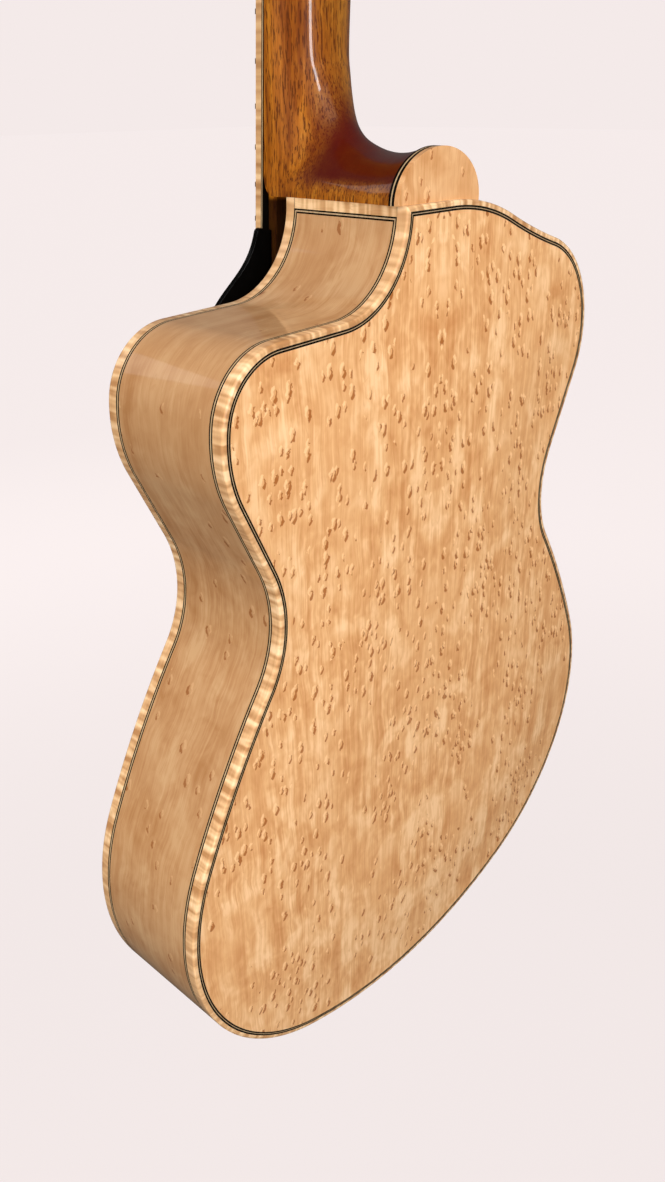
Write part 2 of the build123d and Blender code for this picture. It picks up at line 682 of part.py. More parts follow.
# ---------------------------------------------------------------- tuning machines
POST_SPOTS = [(-22.0, 46.0), (-20.5, 90.0), (-19.0, 134.0)]
POST_SPOTS += [(-x, y) for x, y in reversed(POST_SPOTS)]
POST_RADIUS = 3.0
BUSHING_RADIUS = 4.8
RUNNING = 0.06               # radial clearance of turning shafts
GEAR_TEETH = 16
POINTS_PER_TOOTH = 6
GEAR_RADIUS = 4.6
TOOTH_HEIGHT = 0.45
WORM_OFFSET = 7.35           # from the post's axis down to the worm shaft's axis
WORM_RADIUS = 2.5
THREAD_HEIGHT = 0.5
GEAR_DEPTH = 5.2             # the gear's middle behind the headstock's back
GEAR_THICKNESS = 1.6
HOUSING_DEPTH = 10.4
SHAFT_RADIUS = 1.8
THREAD_PITCH = 2 * pi * GEAR_RADIUS / GEAR_TEETH
THREAD_TURNS = 4
POST_FOOT = 2.6              # the post runs on below the gear's middle
WAIST_START = 8.0            # the capstan's waist, above the headstock's face
WAIST_CUT = 0.5
WAIST_LENGTH = 5.0
POST_TOP = 4.0               # length above the waist
STRING_HOLE_HEIGHT = 10.5
STRING_HOLE_RADIUS = 0.9
BUTTON_AT = 31.0             # middle of the button's foot from the post's axis
COLLAR_RADIUS = 2.6
COLLAR_LENGTH = 1.8
SHAFT_START = 8.5            # the worm shaft reaches this far beyond the post's axis
# (height, width, thickness) of the button from its foot to its outer end
BUTTON_SECTIONS = [(0, 7, 5), (5, 16, 6.2), (11, 18.5, 6.5), (15.5, 15, 5)]
HOUSING_WIDTH = 18.4
HOUSING_LENGTH = 20.4
HOUSING_SHIFT = -3.6         # the housing's middle is shifted towards the worm
HOUSING_CORNER = 3.0
HOUSING_WALL = 1.4
HOUSING_FLOOR = 1.6
NECK_OF_HOUSING = 3.4        # radius of the bearing round the shaft
BEARING_LENGTH = 6.0
EAR_THICKNESS = 1.8
EAR_AT = 9.4
EAR_LENGTH = 12.0
EAR_WIDTH = 7.0
EAR_SCREW = (0, 10.2)
TUNER_SCREW_HEAD = 2.0
TUNER_SCREW_SHANK = 1.1
TUNER_SCREW_LENGTH = 9.0
FERRULE_RADIUS = 6.6
FERRULE_HEIGHT = 2.2
back_of_head = HEAD.offset(-HEAD_THICKNESS)


def tuner_plane(spot, height=0.0):
    """A plane across a post's axis; height is above the headstock's back face."""
    return Plane(
        origin=back_of_head.from_local_coords(Vector(spot[0], spot[1], height)),
        x_dir=HEAD.x_dir,
        z_dir=HEAD.z_dir,
    )


def key_plane(spot, along):
    """A plane across a worm shaft's axis, at a distance along +X from the post's axis."""
    return Plane(
        origin=tuner_plane(spot, -GEAR_DEPTH).from_local_coords(Vector(along, -WORM_OFFSET, 0)),
        x_dir=HEAD.y_dir,
        z_dir=HEAD.x_dir,
    )


def string_post(spot):
    """A string post with its capstan waist and string hole, and the gear at its lower end."""
    face_height = HEAD_THICKNESS + HEAD_VENEER
    steps = GEAR_TEETH * POINTS_PER_TOOTH
    ring = []
    for k in range(steps):
        angle = 2 * pi * k / steps
        radius = GEAR_RADIUS - TOOTH_HEIGHT * cos(2 * pi * k / POINTS_PER_TOOTH)
        ring.append((radius * sin(angle), -radius * cos(angle)))
    with BuildPart() as made:
        with BuildSketch(tuner_plane(spot, -GEAR_DEPTH - GEAR_THICKNESS / 2)):
            with BuildLine():
                Polyline(*ring, close=True)
            make_face()
        extrude(amount=GEAR_THICKNESS)
        with BuildSketch(tuner_plane(spot, -GEAR_DEPTH - POST_FOOT)):
            Circle(POST_RADIUS)
        extrude(amount=GEAR_DEPTH + POST_FOOT + face_height + WAIST_START)
        with BuildSketch(tuner_plane(spot, face_height + WAIST_START)):
            Circle(POST_RADIUS - WAIST_CUT)
        extrude(amount=WAIST_LENGTH)
        with BuildSketch(tuner_plane(spot, face_height + WAIST_START + WAIST_LENGTH)):
            Circle(POST_RADIUS)
        extrude(amount=POST_TOP)
        hole = tuner_plane(spot, face_height + STRING_HOLE_HEIGHT)
        with BuildSketch(Plane(origin=hole.origin, x_dir=hole.z_dir, z_dir=hole.x_dir)):
            Circle(STRING_HOLE_RADIUS)
        extrude(amount=POST_RADIUS * 2, both=True, mode=Mode.SUBTRACT)
    return made.part


def tuner_key(spot):
    """A worm shaft with its thread, and the button at its outer end."""
    side = 1 if spot[0] > 0 else -1
    outer = side * BUTTON_AT
    shaft_end = outer - side * 6
    collar_end = shaft_end + side * COLLAR_LENGTH
    section = Face(Wire(Edge.make_circle(WORM_RADIUS)))
    thread = Solid.extrude_linear_with_rotation(
        section=section.moved(Location((THREAD_HEIGHT, 0, 0))),
        center=(0, 0, 0),
        normal=(0, 0, THREAD_PITCH * THREAD_TURNS),
        angle=360 * THREAD_TURNS,
    )
    worm = key_plane(spot, -THREAD_PITCH * THREAD_TURNS / 2).location * thread
    with BuildPart() as made:
        add(worm)
        for first, last, radius in (
            (-side * SHAFT_START, shaft_end, SHAFT_RADIUS),
            (shaft_end, collar_end, COLLAR_RADIUS),
        ):
            with BuildSketch(key_plane(spot, first)):
                Circle(radius)
            extrude(amount=last - first)
    button_foot = key_plane(spot, collar_end).origin
    button_plane = Plane(origin=button_foot, x_dir=HEAD.y_dir, z_dir=HEAD.x_dir * side)
    with BuildPart() as button:
        for height, wide, thick in BUTTON_SECTIONS:
            with BuildSketch(button_plane.offset(height)):
                Ellipse(wide / 2, thick / 2)
        loft()
    return made.part + button.part


def tuner_housing(spot):
    """A closed gear case, open only where the post and the worm shaft leave it."""
    side = 1 if spot[0] > 0 else -1
    seat = tuner_plane(spot)
    inner_width = HOUSING_WIDTH - 2 * HOUSING_WALL
    inner_length = HOUSING_LENGTH - 2 * HOUSING_WALL
    with BuildPart() as made:
        with BuildSketch(seat):
            with Locations((0, HOUSING_SHIFT)):
                RectangleRounded(HOUSING_WIDTH, HOUSING_LENGTH, HOUSING_CORNER)
        extrude(amount=-HOUSING_DEPTH)
        fillet(made.faces().sort_by(Axis.Y)[-1].edges(), 1.6)
        with BuildSketch(seat):
            with Locations((0, HOUSING_SHIFT)):
                RectangleRounded(inner_width, inner_length, HOUSING_CORNER - 1.2)
        extrude(amount=-(HOUSING_DEPTH - HOUSING_FLOOR), mode=Mode.SUBTRACT)
        with BuildSketch(key_plane(spot, side * 4)):
            Circle(SHAFT_RADIUS + RUNNING)
        extrude(amount=side * 20, mode=Mode.SUBTRACT)
        with BuildSketch(key_plane(spot, -side * 4)):
            Circle(SHAFT_RADIUS + RUNNING)
        extrude(amount=-side * 4.7, mode=Mode.SUBTRACT)
        with BuildSketch(key_plane(spot, side * HOUSING_WIDTH / 2)):
            Circle(NECK_OF_HOUSING)
            Circle(SHAFT_RADIUS + RUNNING, mode=Mode.SUBTRACT)
        extrude(amount=side * BEARING_LENGTH)
        with BuildSketch(seat):
            with Locations((0, EAR_AT)):
                SlotOverall(EAR_LENGTH, EAR_WIDTH, rotation=90)
            with Locations(EAR_SCREW):
                Circle(TUNER_SCREW_SHANK + 0.1, mode=Mode.SUBTRACT)
        extrude(amount=-EAR_THICKNESS)
    return made.part


bushings = []
housings = []
tuner_screws = []
for number, spot in enumerate(POST_SPOTS, start=1):
    bore_top = tuner_plane(spot, HEAD_THICKNESS + HEAD_VENEER + 1).origin
    bore = cylinder_between(tuner_plane(spot, -1).origin, bore_top, BUSHING_RADIUS)
    neck -= bore
    head_veneer -= bore
    with BuildPart() as bushing:
        with BuildSketch(tuner_plane(spot, 0)):
            Circle(BUSHING_RADIUS)
        extrude(amount=HEAD_THICKNESS + HEAD_VENEER)
        with BuildSketch(tuner_plane(spot, HEAD_THICKNESS + HEAD_VENEER)):
            RegularPolygon(FERRULE_RADIUS, 6)
        extrude(amount=FERRULE_HEIGHT)
        with BuildSketch(tuner_plane(spot, -1)):
            Circle(POST_RADIUS + RUNNING)
        extrude(amount=HEAD_THICKNESS + HEAD_VENEER + 6, mode=Mode.SUBTRACT)
    bushings.append(bushing.part)
    housings.append(tuner_housing(spot))
    behind = Plane(origin=tuner_plane(spot, -EAR_THICKNESS).origin, x_dir=(-1, 0, 0), z_dir=-HEAD.z_dir)
    tuner_screws.append(
        wood_screw(behind, EAR_SCREW, TUNER_SCREW_HEAD, TUNER_SCREW_SHANK, TUNER_SCREW_LENGTH)
    )
    neck -= screw_hole(behind, EAR_SCREW, TUNER_SCREW_SHANK, TUNER_SCREW_LENGTH)
    save(string_post(spot), f"string_post_{number}")
    save(tuner_key(spot), f"tuner_key_{number}")

save(Compound(children=bushings), "tuner_bushings")
save(Compound(children=housings), "tuner_housings")
save(Compound(children=tuner_screws), "tuner_screws")
save(neck, "neck")
save(head_veneer, "headstock_veneer")
save(truss_cover, "truss_rod_cover")

# ---------------------------------------------------------------- bridge
ARCH_TOP_Y = FRONT_Y - FRONT_RISE
SADDLE_STRING = 12.0         # string centres above the gluing plane at the saddle
STRINGS_AT_SADDLE = neck_point(0, BRIDGE_DISTANCE, SADDLE_STRING)
STRING_Z = STRINGS_AT_SADDLE.Z
BASE_LENGTH = 150.0
BASE_WIDTH = 13.0
BASE_THICKNESS = 9.0
BASE_ROUND = 2.0
HOLLOW_LENGTH = 56.0         # the base is hollowed between its two feet
HOLLOW_HEIGHT = 5.0
WHEEL_SPACING = 76.0
WHEEL_RADIUS = 9.0
WHEEL_THICKNESS = 3.0
WHEEL_GAP = 2.4              # base to wheel, so the saddle can come down
WHEEL_SLACK = 0.03           # between the wheel and the saddle's foot
KNURLS = 36
KNURL_RADIUS = 0.55
POST_SIZE = 2.0
POST_IN_BASE = 4.0
POST_IN_SADDLE = 6.0
POST_HOLE_DEPTH = 11.0
# (distance above the foot, length, width) of the saddle's foot and shoulder
SADDLE_FOOT = (0.0, 122.0, 11.0)
SADDLE_SHOULDER = (5.0, 114.0, 9.0)
CREST_LENGTH = 70.0
CREST_WIDTH = 1.2
base_top_y = ARCH_TOP_Y - BASE_THICKNESS
wheel_y = base_top_y - WHEEL_GAP
saddle_foot_y = wheel_y - WHEEL_THICKNESS
STRING_CLEAR = 0.15
saddle_top_y = STRINGS_AT_SADDLE.Y + STRING_GAUGES[0] / 2 + STRING_CLEAR

with BuildPart() as bridge_base:
    with BuildSketch(rim_plane(ARCH_TOP_Y)):
        with Locations((0, STRING_Z)):
            SlotOverall(BASE_LENGTH, BASE_WIDTH)
    extrude(amount=BASE_THICKNESS)
    with BuildSketch(Plane(origin=(0, 0, STRING_Z + BASE_WIDTH), x_dir=(1, 0, 0), z_dir=(0, 0, -1))):
        with Locations((0, -ARCH_TOP_Y)):
            Rectangle(HOLLOW_LENGTH, HOLLOW_HEIGHT)
    extrude(amount=2 * BASE_WIDTH, mode=Mode.SUBTRACT)
    fillet(bridge_base.faces().sort_by(Axis.Y)[0].edges(), BASE_ROUND)
bridge_base = bridge_base.part
posts = []
for side in (-1, 1):
    post_x = side * WHEEL_SPACING / 2
    foot = (post_x, ARCH_TOP_Y - POST_IN_BASE, STRING_Z)
    tip = (post_x, saddle_foot_y - POST_IN_SADDLE, STRING_Z)
    post = cylinder_between(foot, tip, POST_SIZE)
    bridge_base -= post
    posts.append(post)
    with BuildPart() as wheel:
        wheel_centre = (post_x, wheel_y, STRING_Z)
        with BuildSketch(Plane(origin=wheel_centre, x_dir=(1, 0, 0), z_dir=(0, -1, 0))):
            Circle(WHEEL_RADIUS)
            with PolarLocations(WHEEL_RADIUS + 0.25, KNURLS):
                Circle(KNURL_RADIUS, mode=Mode.SUBTRACT)
            Circle(POST_SIZE + RUNNING, mode=Mode.SUBTRACT)
        extrude(amount=WHEEL_THICKNESS - WHEEL_SLACK)
    save(wheel.part, "bridge_wheel_bass" if side < 0 else "bridge_wheel_treble")
with BuildPart() as bridge_saddle:
    for height, length, width in (
        SADDLE_FOOT,
        SADDLE_SHOULDER,
        (saddle_foot_y - saddle_top_y, CREST_LENGTH, CREST_WIDTH),
    ):
        with BuildSketch(rim_plane(saddle_foot_y - height)):
            with Locations((0, STRING_Z)):
                SlotOverall(length, width)
    loft(ruled=True)
    with BuildSketch(rim_plane(saddle_foot_y + 1)):
        with Locations((-WHEEL_SPACING / 2, STRING_Z), (WHEEL_SPACING / 2, STRING_Z)):
            Circle(POST_SIZE + RUNNING)
    extrude(amount=1 + POST_HOLE_DEPTH, mode=Mode.SUBTRACT)
save(bridge_base, "bridge_base")
save(Compound(children=posts), "bridge_posts")
save(bridge_saddle.part, "bridge_saddle")

# ---------------------------------------------------------------- tailpiece and its wire
TAILPIECE_LENGTH = 108.0
TAILPIECE_START = TAIL_Z + 16
TAILPIECE_Y = FRONT_Y - 14.5
TAILPIECE_RISE = 13.0        # it climbs to the string end by this much
tail_pitch_angle = atan2(TAILPIECE_RISE, TAILPIECE_LENGTH)
TAILPIECE = Plane(
    origin=(0, TAILPIECE_Y, TAILPIECE_START),
    x_dir=(1, 0, 0),
    z_dir=(0, -cos(tail_pitch_angle), -sin(tail_pitch_angle)),
)
TAILPIECE_THICKNESS = 7.0
FOOT_HALF = 13.0             # half width at the tail end
WAIST_POINT = (17.0, 46.0)
SHOULDER_POINT = (33.0, 92.0)
CORNER_POINT = (33.0, 100.0)
END_POINT = (17.0, 106.0)
TAILPIECE_ROUND = 1.6
WIRE_RADIUS = 1.0
WIRE_HALF = 6.0
WIRE_SLOT_LENGTH = 32.0      # cut across the tail end, so half of it is in the wood
WIRE_BENDS = (2.4, 5.9, 5.9, 2.4)
WIRE_Z = TAIL_Z - PIN_WAIST_START - WIRE_RADIUS - 0.3
with BuildPart() as tailpiece:
    with BuildSketch(TAILPIECE):
        with BuildLine():
            foot = Line((0, 0), (FOOT_HALF, 0))
            waist = ThreePointArc(foot @ 1, WAIST_POINT, SHOULDER_POINT)
            edge = Line(waist @ 1, CORNER_POINT)
            ThreePointArc(edge @ 1, END_POINT, (0, TAILPIECE_LENGTH))
            mirror(about=Plane.YZ)
        make_face()
    extrude(amount=TAILPIECE_THICKNESS)
    fillet(tailpiece.faces().sort_by(Axis.Y)[0].edges(), TAILPIECE_ROUND)
    with BuildSketch(TAILPIECE.offset(TAILPIECE_THICKNESS / 2 - 1)):
        with Locations((-WIRE_HALF, 0), (WIRE_HALF, 0)):
            Rectangle(2 * WIRE_RADIUS + 0.1, WIRE_SLOT_LENGTH)
    extrude(amount=-TAILPIECE_THICKNESS, mode=Mode.SUBTRACT)
tailpiece = tailpiece.part

wire_start = TAILPIECE.from_local_coords(Vector(WIRE_HALF, 15, TAILPIECE_THICKNESS / 2 - 2.2))
over_saddle_y = FRONT_Y - SADDLE_PROUD - WIRE_RADIUS - 0.1
round_pin_y = PIN_Y + WIRE_HALF
wire_route = [
    wire_start,
    Vector(WIRE_HALF, over_saddle_y, WIRE_Z),
    Vector(WIRE_HALF, round_pin_y, WIRE_Z),
    Vector(-WIRE_HALF, round_pin_y, WIRE_Z),
    Vector(-WIRE_HALF, over_saddle_y, WIRE_Z),
    Vector(-wire_start.X, wire_start.Y, wire_start.Z),
]
with BuildPart() as tail_wire:
    with BuildLine():
        route = FilletPolyline(*wire_route, radius=list(WIRE_BENDS))
    with BuildSketch(Plane(origin=route @ 0, z_dir=route % 0)):
        Circle(WIRE_RADIUS)
    sweep()
save(tail_wire.part, "tail_wire")

# ---------------------------------------------------------------- strings
STRING_ANCHOR = 94.0         # along the tailpiece
TAIL_STRING = TAILPIECE.from_local_coords(Vector(0, STRING_ANCHOR, TAILPIECE_THICKNESS - 0.6))
strings = []
for index, (k, gauge) in enumerate(zip(STRING_ORDER, STRING_GAUGES)):
    spot = POST_SPOTS[index]
    side = 1 if spot[0] > 0 else -1
    radius = gauge / 2
    wrap = HEAD.from_local_coords(
        Vector(spot[0] - side * (POST_RADIUS + radius + 0.1), spot[1], HEAD_VENEER + 9.5 + radius)
    )
    at_tail = Vector(k * TAIL_PITCH, TAIL_STRING.Y - radius, TAIL_STRING.Z)
    at_saddle = Vector(k * SADDLE_PITCH, saddle_top_y - STRING_CLEAR - radius, STRING_Z)
    at_nut = neck_point(k * NUT_PITCH, -NUT_THICKNESS / 2, NUT_STRING)
    string = cylinder_between(at_tail, at_saddle, radius)
    string += cylinder_between(at_saddle, at_nut, radius)
    string += cylinder_between(at_nut, wrap, radius)
    string += Pos(*at_saddle) * Sphere(radius)
    string += Pos(*at_nut) * Sphere(radius)
    strings.append(string)
    nut -= string
    run = (at_saddle - at_tail).normalized()
    tailpiece -= cylinder_between(at_tail - run * 3, at_tail + run * 30, radius + 0.3)
save(Compound(children=strings), "strings")
save(nut, "nut")
save(tailpiece, "tailpiece")

# ---------------------------------------------------------------- pickguard
GUARD_THICKNESS = 2.6
GUARD_LOW = -GUARD_THICKNESS  # its upper face touches the fingerboard's veneer from below
BODY_AT = fret_distance(BODY_FRET) + FRET_TO_BODY
GUARD_INNER = TONGUE_HALF + 0.4
GUARD_TOP = (33.5, 14.5)     # across and down from the body's end, as all its points
GUARD_OUTER = [(40.5, 30.0), (62.0, 50.0), (76.0, 105.0), (66.0, 210.0), (52.0, 262.0)]
GUARD_TIP = 40.0
GUARD_CORNER = 2.6
FOOT_ACROSS = 66.0
FOOT_DOWN = 160.0
FOOT_SIZE = (16.0, 9.0)
with BuildPart() as pickguard:
    with BuildSketch(NECK.offset(GUARD_LOW)):
        with BuildLine():
            top_end = (GUARD_TOP[0], -(BODY_AT + GUARD_TOP[1]))
            top = Line((GUARD_INNER, -(BODY_AT + GUARD_TOP[1] + 2)), top_end)
            outer = Spline([top_end] + [(x, -(BODY_AT + down)) for x, down in GUARD_OUTER])
            tip = Line(outer @ 1, (GUARD_TIP, -(BODY_AT + GUARD_OUTER[-1][1])))
            inner = Line(tip @ 1, (GUARD_INNER, -(BOARD_END + 6)))
            Line(inner @ 1, top @ 0)
        guard_face = make_face()
        fillet(guard_face.vertices().group_by(Axis.Y)[-1], GUARD_CORNER)
    extrude(amount=GUARD_THICKNESS)
with BuildPart() as pickguard_foot:
    with BuildSketch(NECK.offset(GUARD_LOW)):
        with Locations((FOOT_ACROSS, -(BODY_AT + FOOT_DOWN))):
            Rectangle(*FOOT_SIZE)
    extrude(amount=-FRONT_RISE)
above_arch = block((0, 120), (FRONT_Y - 60, ARCH_TOP_Y), (TAIL_Z, TOP_Z))
save(pickguard.part, "pickguard")
save(pickguard_foot.part & above_arch, "pickguard_bracket")
save(Compound(children=small_screws), "small_screws")
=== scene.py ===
import json
import math

import bmesh
import bpy
import numpy as np
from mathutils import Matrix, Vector
from mathutils.geometry import delaunay_2d_cdt

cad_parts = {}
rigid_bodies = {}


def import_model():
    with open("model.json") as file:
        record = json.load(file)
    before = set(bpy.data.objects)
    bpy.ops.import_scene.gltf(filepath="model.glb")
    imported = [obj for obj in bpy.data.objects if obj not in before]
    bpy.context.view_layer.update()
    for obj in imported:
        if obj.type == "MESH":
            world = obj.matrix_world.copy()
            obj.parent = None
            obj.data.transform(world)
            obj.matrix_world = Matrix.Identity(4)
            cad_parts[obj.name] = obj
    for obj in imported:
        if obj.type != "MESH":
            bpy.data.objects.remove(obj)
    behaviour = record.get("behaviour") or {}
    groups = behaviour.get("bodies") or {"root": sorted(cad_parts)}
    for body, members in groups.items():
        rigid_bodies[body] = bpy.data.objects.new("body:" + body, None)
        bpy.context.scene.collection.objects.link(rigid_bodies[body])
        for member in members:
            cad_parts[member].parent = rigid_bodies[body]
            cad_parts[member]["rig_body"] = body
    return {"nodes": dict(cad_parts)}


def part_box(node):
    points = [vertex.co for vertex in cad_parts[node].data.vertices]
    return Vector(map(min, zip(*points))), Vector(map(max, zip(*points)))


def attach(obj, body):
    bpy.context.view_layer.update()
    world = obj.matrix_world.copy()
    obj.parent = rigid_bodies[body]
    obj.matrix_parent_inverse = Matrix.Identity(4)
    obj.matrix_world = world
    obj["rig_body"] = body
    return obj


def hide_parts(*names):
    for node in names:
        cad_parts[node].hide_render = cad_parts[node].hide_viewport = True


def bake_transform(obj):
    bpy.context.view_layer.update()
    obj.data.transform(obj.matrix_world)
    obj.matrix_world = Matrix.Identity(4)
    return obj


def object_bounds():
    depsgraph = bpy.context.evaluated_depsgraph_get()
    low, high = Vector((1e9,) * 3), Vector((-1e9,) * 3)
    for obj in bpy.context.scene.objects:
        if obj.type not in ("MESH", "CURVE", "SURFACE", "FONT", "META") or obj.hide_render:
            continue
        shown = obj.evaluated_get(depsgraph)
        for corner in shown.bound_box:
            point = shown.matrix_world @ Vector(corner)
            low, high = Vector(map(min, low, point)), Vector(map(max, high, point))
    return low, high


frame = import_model()
nodes = frame["nodes"]
CAD_BOX = [list(v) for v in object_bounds()]
MM = 0.001


# -------------------- sizes in mm, from the frame's boxes
BACK_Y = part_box("back_binding")[1].y / MM
SIDE_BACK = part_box("back_binding")[0].y / MM
FRONT_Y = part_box("front_binding")[0].y / MM
SIDE_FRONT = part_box("front_binding")[1].y / MM
TOP_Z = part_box("back_binding")[1].z / MM
TAIL_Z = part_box("back_binding")[0].z / MM
HEEL_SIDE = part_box("cutaway_end_binding")[1].x / MM
STRIP_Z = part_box("cutaway_end_binding")[0].z / MM
PURFLING = STRIP_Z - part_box("cutaway_end_purfling")[0].z / MM
RIM = 2.5  # thickness of the bindings
PURFLING_DEPTH = 1.0
PLATE = 4.5  # thickness of the back and the soundboard
BACK_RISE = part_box("back_bass_half")[1].y / MM - BACK_Y
FRONT_RISE = FRONT_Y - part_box("soundboard_bass_half")[0].y / MM
SADDLE_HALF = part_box("tail_saddle")[1].x / MM
BRIDGE_Z = (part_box("bridge_saddle")[0].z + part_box("bridge_saddle")[1].z) / 2 / MM
MID_Y = (SIDE_FRONT + SIDE_BACK) / 2
LINE_GAP = 0.3

# the body's outline: tangent arcs (radius, turn in degrees) and straights (length, None) from the tail
LOWER_CHAIN = [(275.5, 22.0), (134.0, 46.9), (123.0, 45.8), (534.0, 10.3), (61.0, -60.0)]
BASS_CHAIN = [(47.5, None), (58.5, 99.1), (396.5, -6.8), (134.5, 22.7)]
TREBLE_CHAIN = [(40.64, None), (65.0, 33.6), (35.5, 79.9), (40.5, None), (43.5, -88.5)]


def chain_points(chain, side, step=2.0):
    """Points along a chain of tangent arcs that starts at the tail, as rows of (x, z)."""
    x, z, heading = 0.0, TAIL_Z, 0.0
    points = [(x, z)]
    for size, turn in chain:
        if turn is None:
            x += side * size * math.cos(heading)
            z += size * math.sin(heading)
            points.append((x, z))
            continue
        count = max(2, int(size * abs(math.radians(turn)) / step) + 1)
        sign = 1 if turn > 0 else -1
        cx = x - side * sign * size * math.sin(heading)
        cz = z + sign * size * math.cos(heading)
        for k in range(1, count + 1):
            a = heading + math.radians(turn) * k / count
            points.append((cx + side * sign * size * math.sin(a), cz - sign * size * math.cos(a)))
        heading += math.radians(turn)
        x, z = points[-1]
    return points


treble = chain_points(LOWER_CHAIN + TREBLE_CHAIN, 1)
bass = chain_points(LOWER_CHAIN + BASS_CHAIN, -1)
STRIP_LOW = STRIP_Z - PURFLING
climb = np.array(treble[len(treble) // 2:])
strip_edges = [(float(np.interp(z, climb[:, 1], climb[:, 0])), z) for z in (STRIP_LOW, STRIP_Z)]
treble = [p for p in treble if p[1] < STRIP_LOW - LINE_GAP] + strip_edges
CORNER = len(treble)
OUTLINE = np.array(treble + [(HEEL_SIDE, TOP_Z)] + bass[:0:-1])
LENGTHS = np.r_[0, np.cumsum(np.linalg.norm(np.diff(np.r_[OUTLINE, OUTLINE[:1]], axis=0), axis=1))]


def miters(points):
    """For each vertex of a closed outline, the inward move that insets both edges beside it by 1."""
    after = np.roll(points, -1, 0) - points
    after /= np.linalg.norm(after, axis=1)[:, None]
    before = np.roll(after, 1, 0)
    n0 = np.c_[-before[:, 1], before[:, 0]]
    n1 = np.c_[-after[:, 1], after[:, 0]]
    total = n0 + n1
    return total / (1 + (n0 * n1).sum(1))[:, None]


MITERS = miters(OUTLINE)


# -------------------- mesh helpers
def add_object(name, vertices, faces, uvs=None, sharp=32, material=None, body="guitar", replaces=(),
               slot=None):
    """A mesh object that rides on a body, with its vertices given in mm."""
    mesh = bpy.data.meshes.new(name)
    mesh.from_pydata([tuple(c * MM for c in v) for v in vertices], [], faces)
    if uvs is not None:
        layer = mesh.uv_layers.new(name="UVMap")
        for loop in mesh.loops:
            layer.data[loop.index].uv = uvs[loop.vertex_index]
    mesh.validate()
    obj = bpy.data.objects.new(name, mesh)
    bpy.context.scene.collection.objects.link(obj)
    return dress(obj, sharp, material, body, replaces)


def dress(obj, sharp, material, body, replaces):
    """Outward normals, crisp edges above an angle, a material, a body and what the object replaces."""
    bm = bmesh.new()
    bm.from_mesh(obj.data)
    bmesh.ops.recalc_face_normals(bm, faces=bm.faces)
    bm.to_mesh(obj.data)
    bm.free()
    obj.data.polygons.foreach_set("use_smooth", [True] * len(obj.data.polygons))
    obj.data.set_sharp_from_angle(angle=math.radians(sharp))
    if material:
        obj.data.materials.clear()
        obj.data.materials.append(material)
    if body:
        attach(obj, body)
    if replaces:
        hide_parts(*replaces)
    return obj


def ring(name, profile, first=0, last=None, adjust=None, **options):
    """Sweep a closed profile of (inset, y) points along the outline; last None goes all round."""
    count = len(OUTLINE)
    closed = last is None
    indices = list(range(count)) if closed else list(range(first, last + 1))
    across = np.r_[0, np.cumsum([math.dist(a, b) for a, b in zip(profile, profile[1:])])]
    vertices, uvs, faces = [], [], []
    size = len(profile)
    for i in indices + ([indices[0]] if closed else []):
        k = i % count
        along = LENGTHS[i] if i < count else LENGTHS[-1] + LENGTHS[i - count]
        if closed and len(vertices) == size * len(indices):
            along = LENGTHS[-1]
        for j, (inset, y) in enumerate(profile):
            x, z = OUTLINE[k] + MITERS[k] * inset
            if adjust:
                x, y, z = adjust(k, x, y, z, inset)
            vertices.append((x, y, z))
            uvs.append((along * MM, across[j] * MM))
    for a in range(len(vertices) // size - 1):
        for j in range(size):
            b = (j + 1) % size
            faces.append((a * size + j, a * size + b, (a + 1) * size + b, (a + 1) * size + j))
    if not closed:
        faces.append(tuple(range(size)))
        faces.append(tuple(range(len(vertices) - size, len(vertices)))[::-1])
    return add_object(name, vertices, faces, uvs=uvs, **options)


def rounded(points, radius, steps=4):
    """A closed profile with some corners rounded: points are (x, y, True to round)."""
    made = []
    total = len(points)
    for i, (x, y, soft) in enumerate(points):
        if not soft:
            made.append((x, y))
            continue
        here = np.array((x, y), float)
        back = np.array(points[i - 1][:2], float) - here
        ahead = np.array(points[(i + 1) % total][:2], float) - here
        back /= np.linalg.norm(back)
        ahead /= np.linalg.norm(ahead)
        for k in range(steps + 1):
            t = k / steps
            p = here + back * radius * (1 - t) ** 2 + ahead * radius * t ** 2
            made.append(tuple(p))
    return made


def inset_distance(points):
    """Distance from each (x, z) point to the body's outline."""
    a = OUTLINE
    b = np.roll(OUTLINE, -1, 0)
    ab = b - a
    best = np.zeros(len(points))
    batch = 800
    for start in range(0, len(points), batch):
        p = points[start:start + batch, None, :]
        t = np.clip(((p - a) * ab).sum(2) / (ab * ab).sum(1), 0, 1)
        gap = np.linalg.norm(p - (a + t[..., None] * ab), axis=2)
        best[start:start + batch] = gap.min(1)
    return best


def smooth(t):
    """0 to 1 with a flat start and a flat end."""
    t = np.clip(t, 0, 1)
    return t * t * t * (10 - 15 * t + 6 * t * t)


def inside(points, polygon):
    """Which (x, z) points lie in a polygon."""
    x, z = points[:, 0], points[:, 1]
    hit = np.zeros(len(points), bool)
    for (x0, z0), (x1, z1) in zip(polygon, np.roll(polygon, -1, 0)):
        crosses = (z0 > z) != (z1 > z)
        if z0 != z1:
            hit ^= crosses & (x < (x1 - x0) * (z - z0) / (z1 - z0) + x0)
    return hit


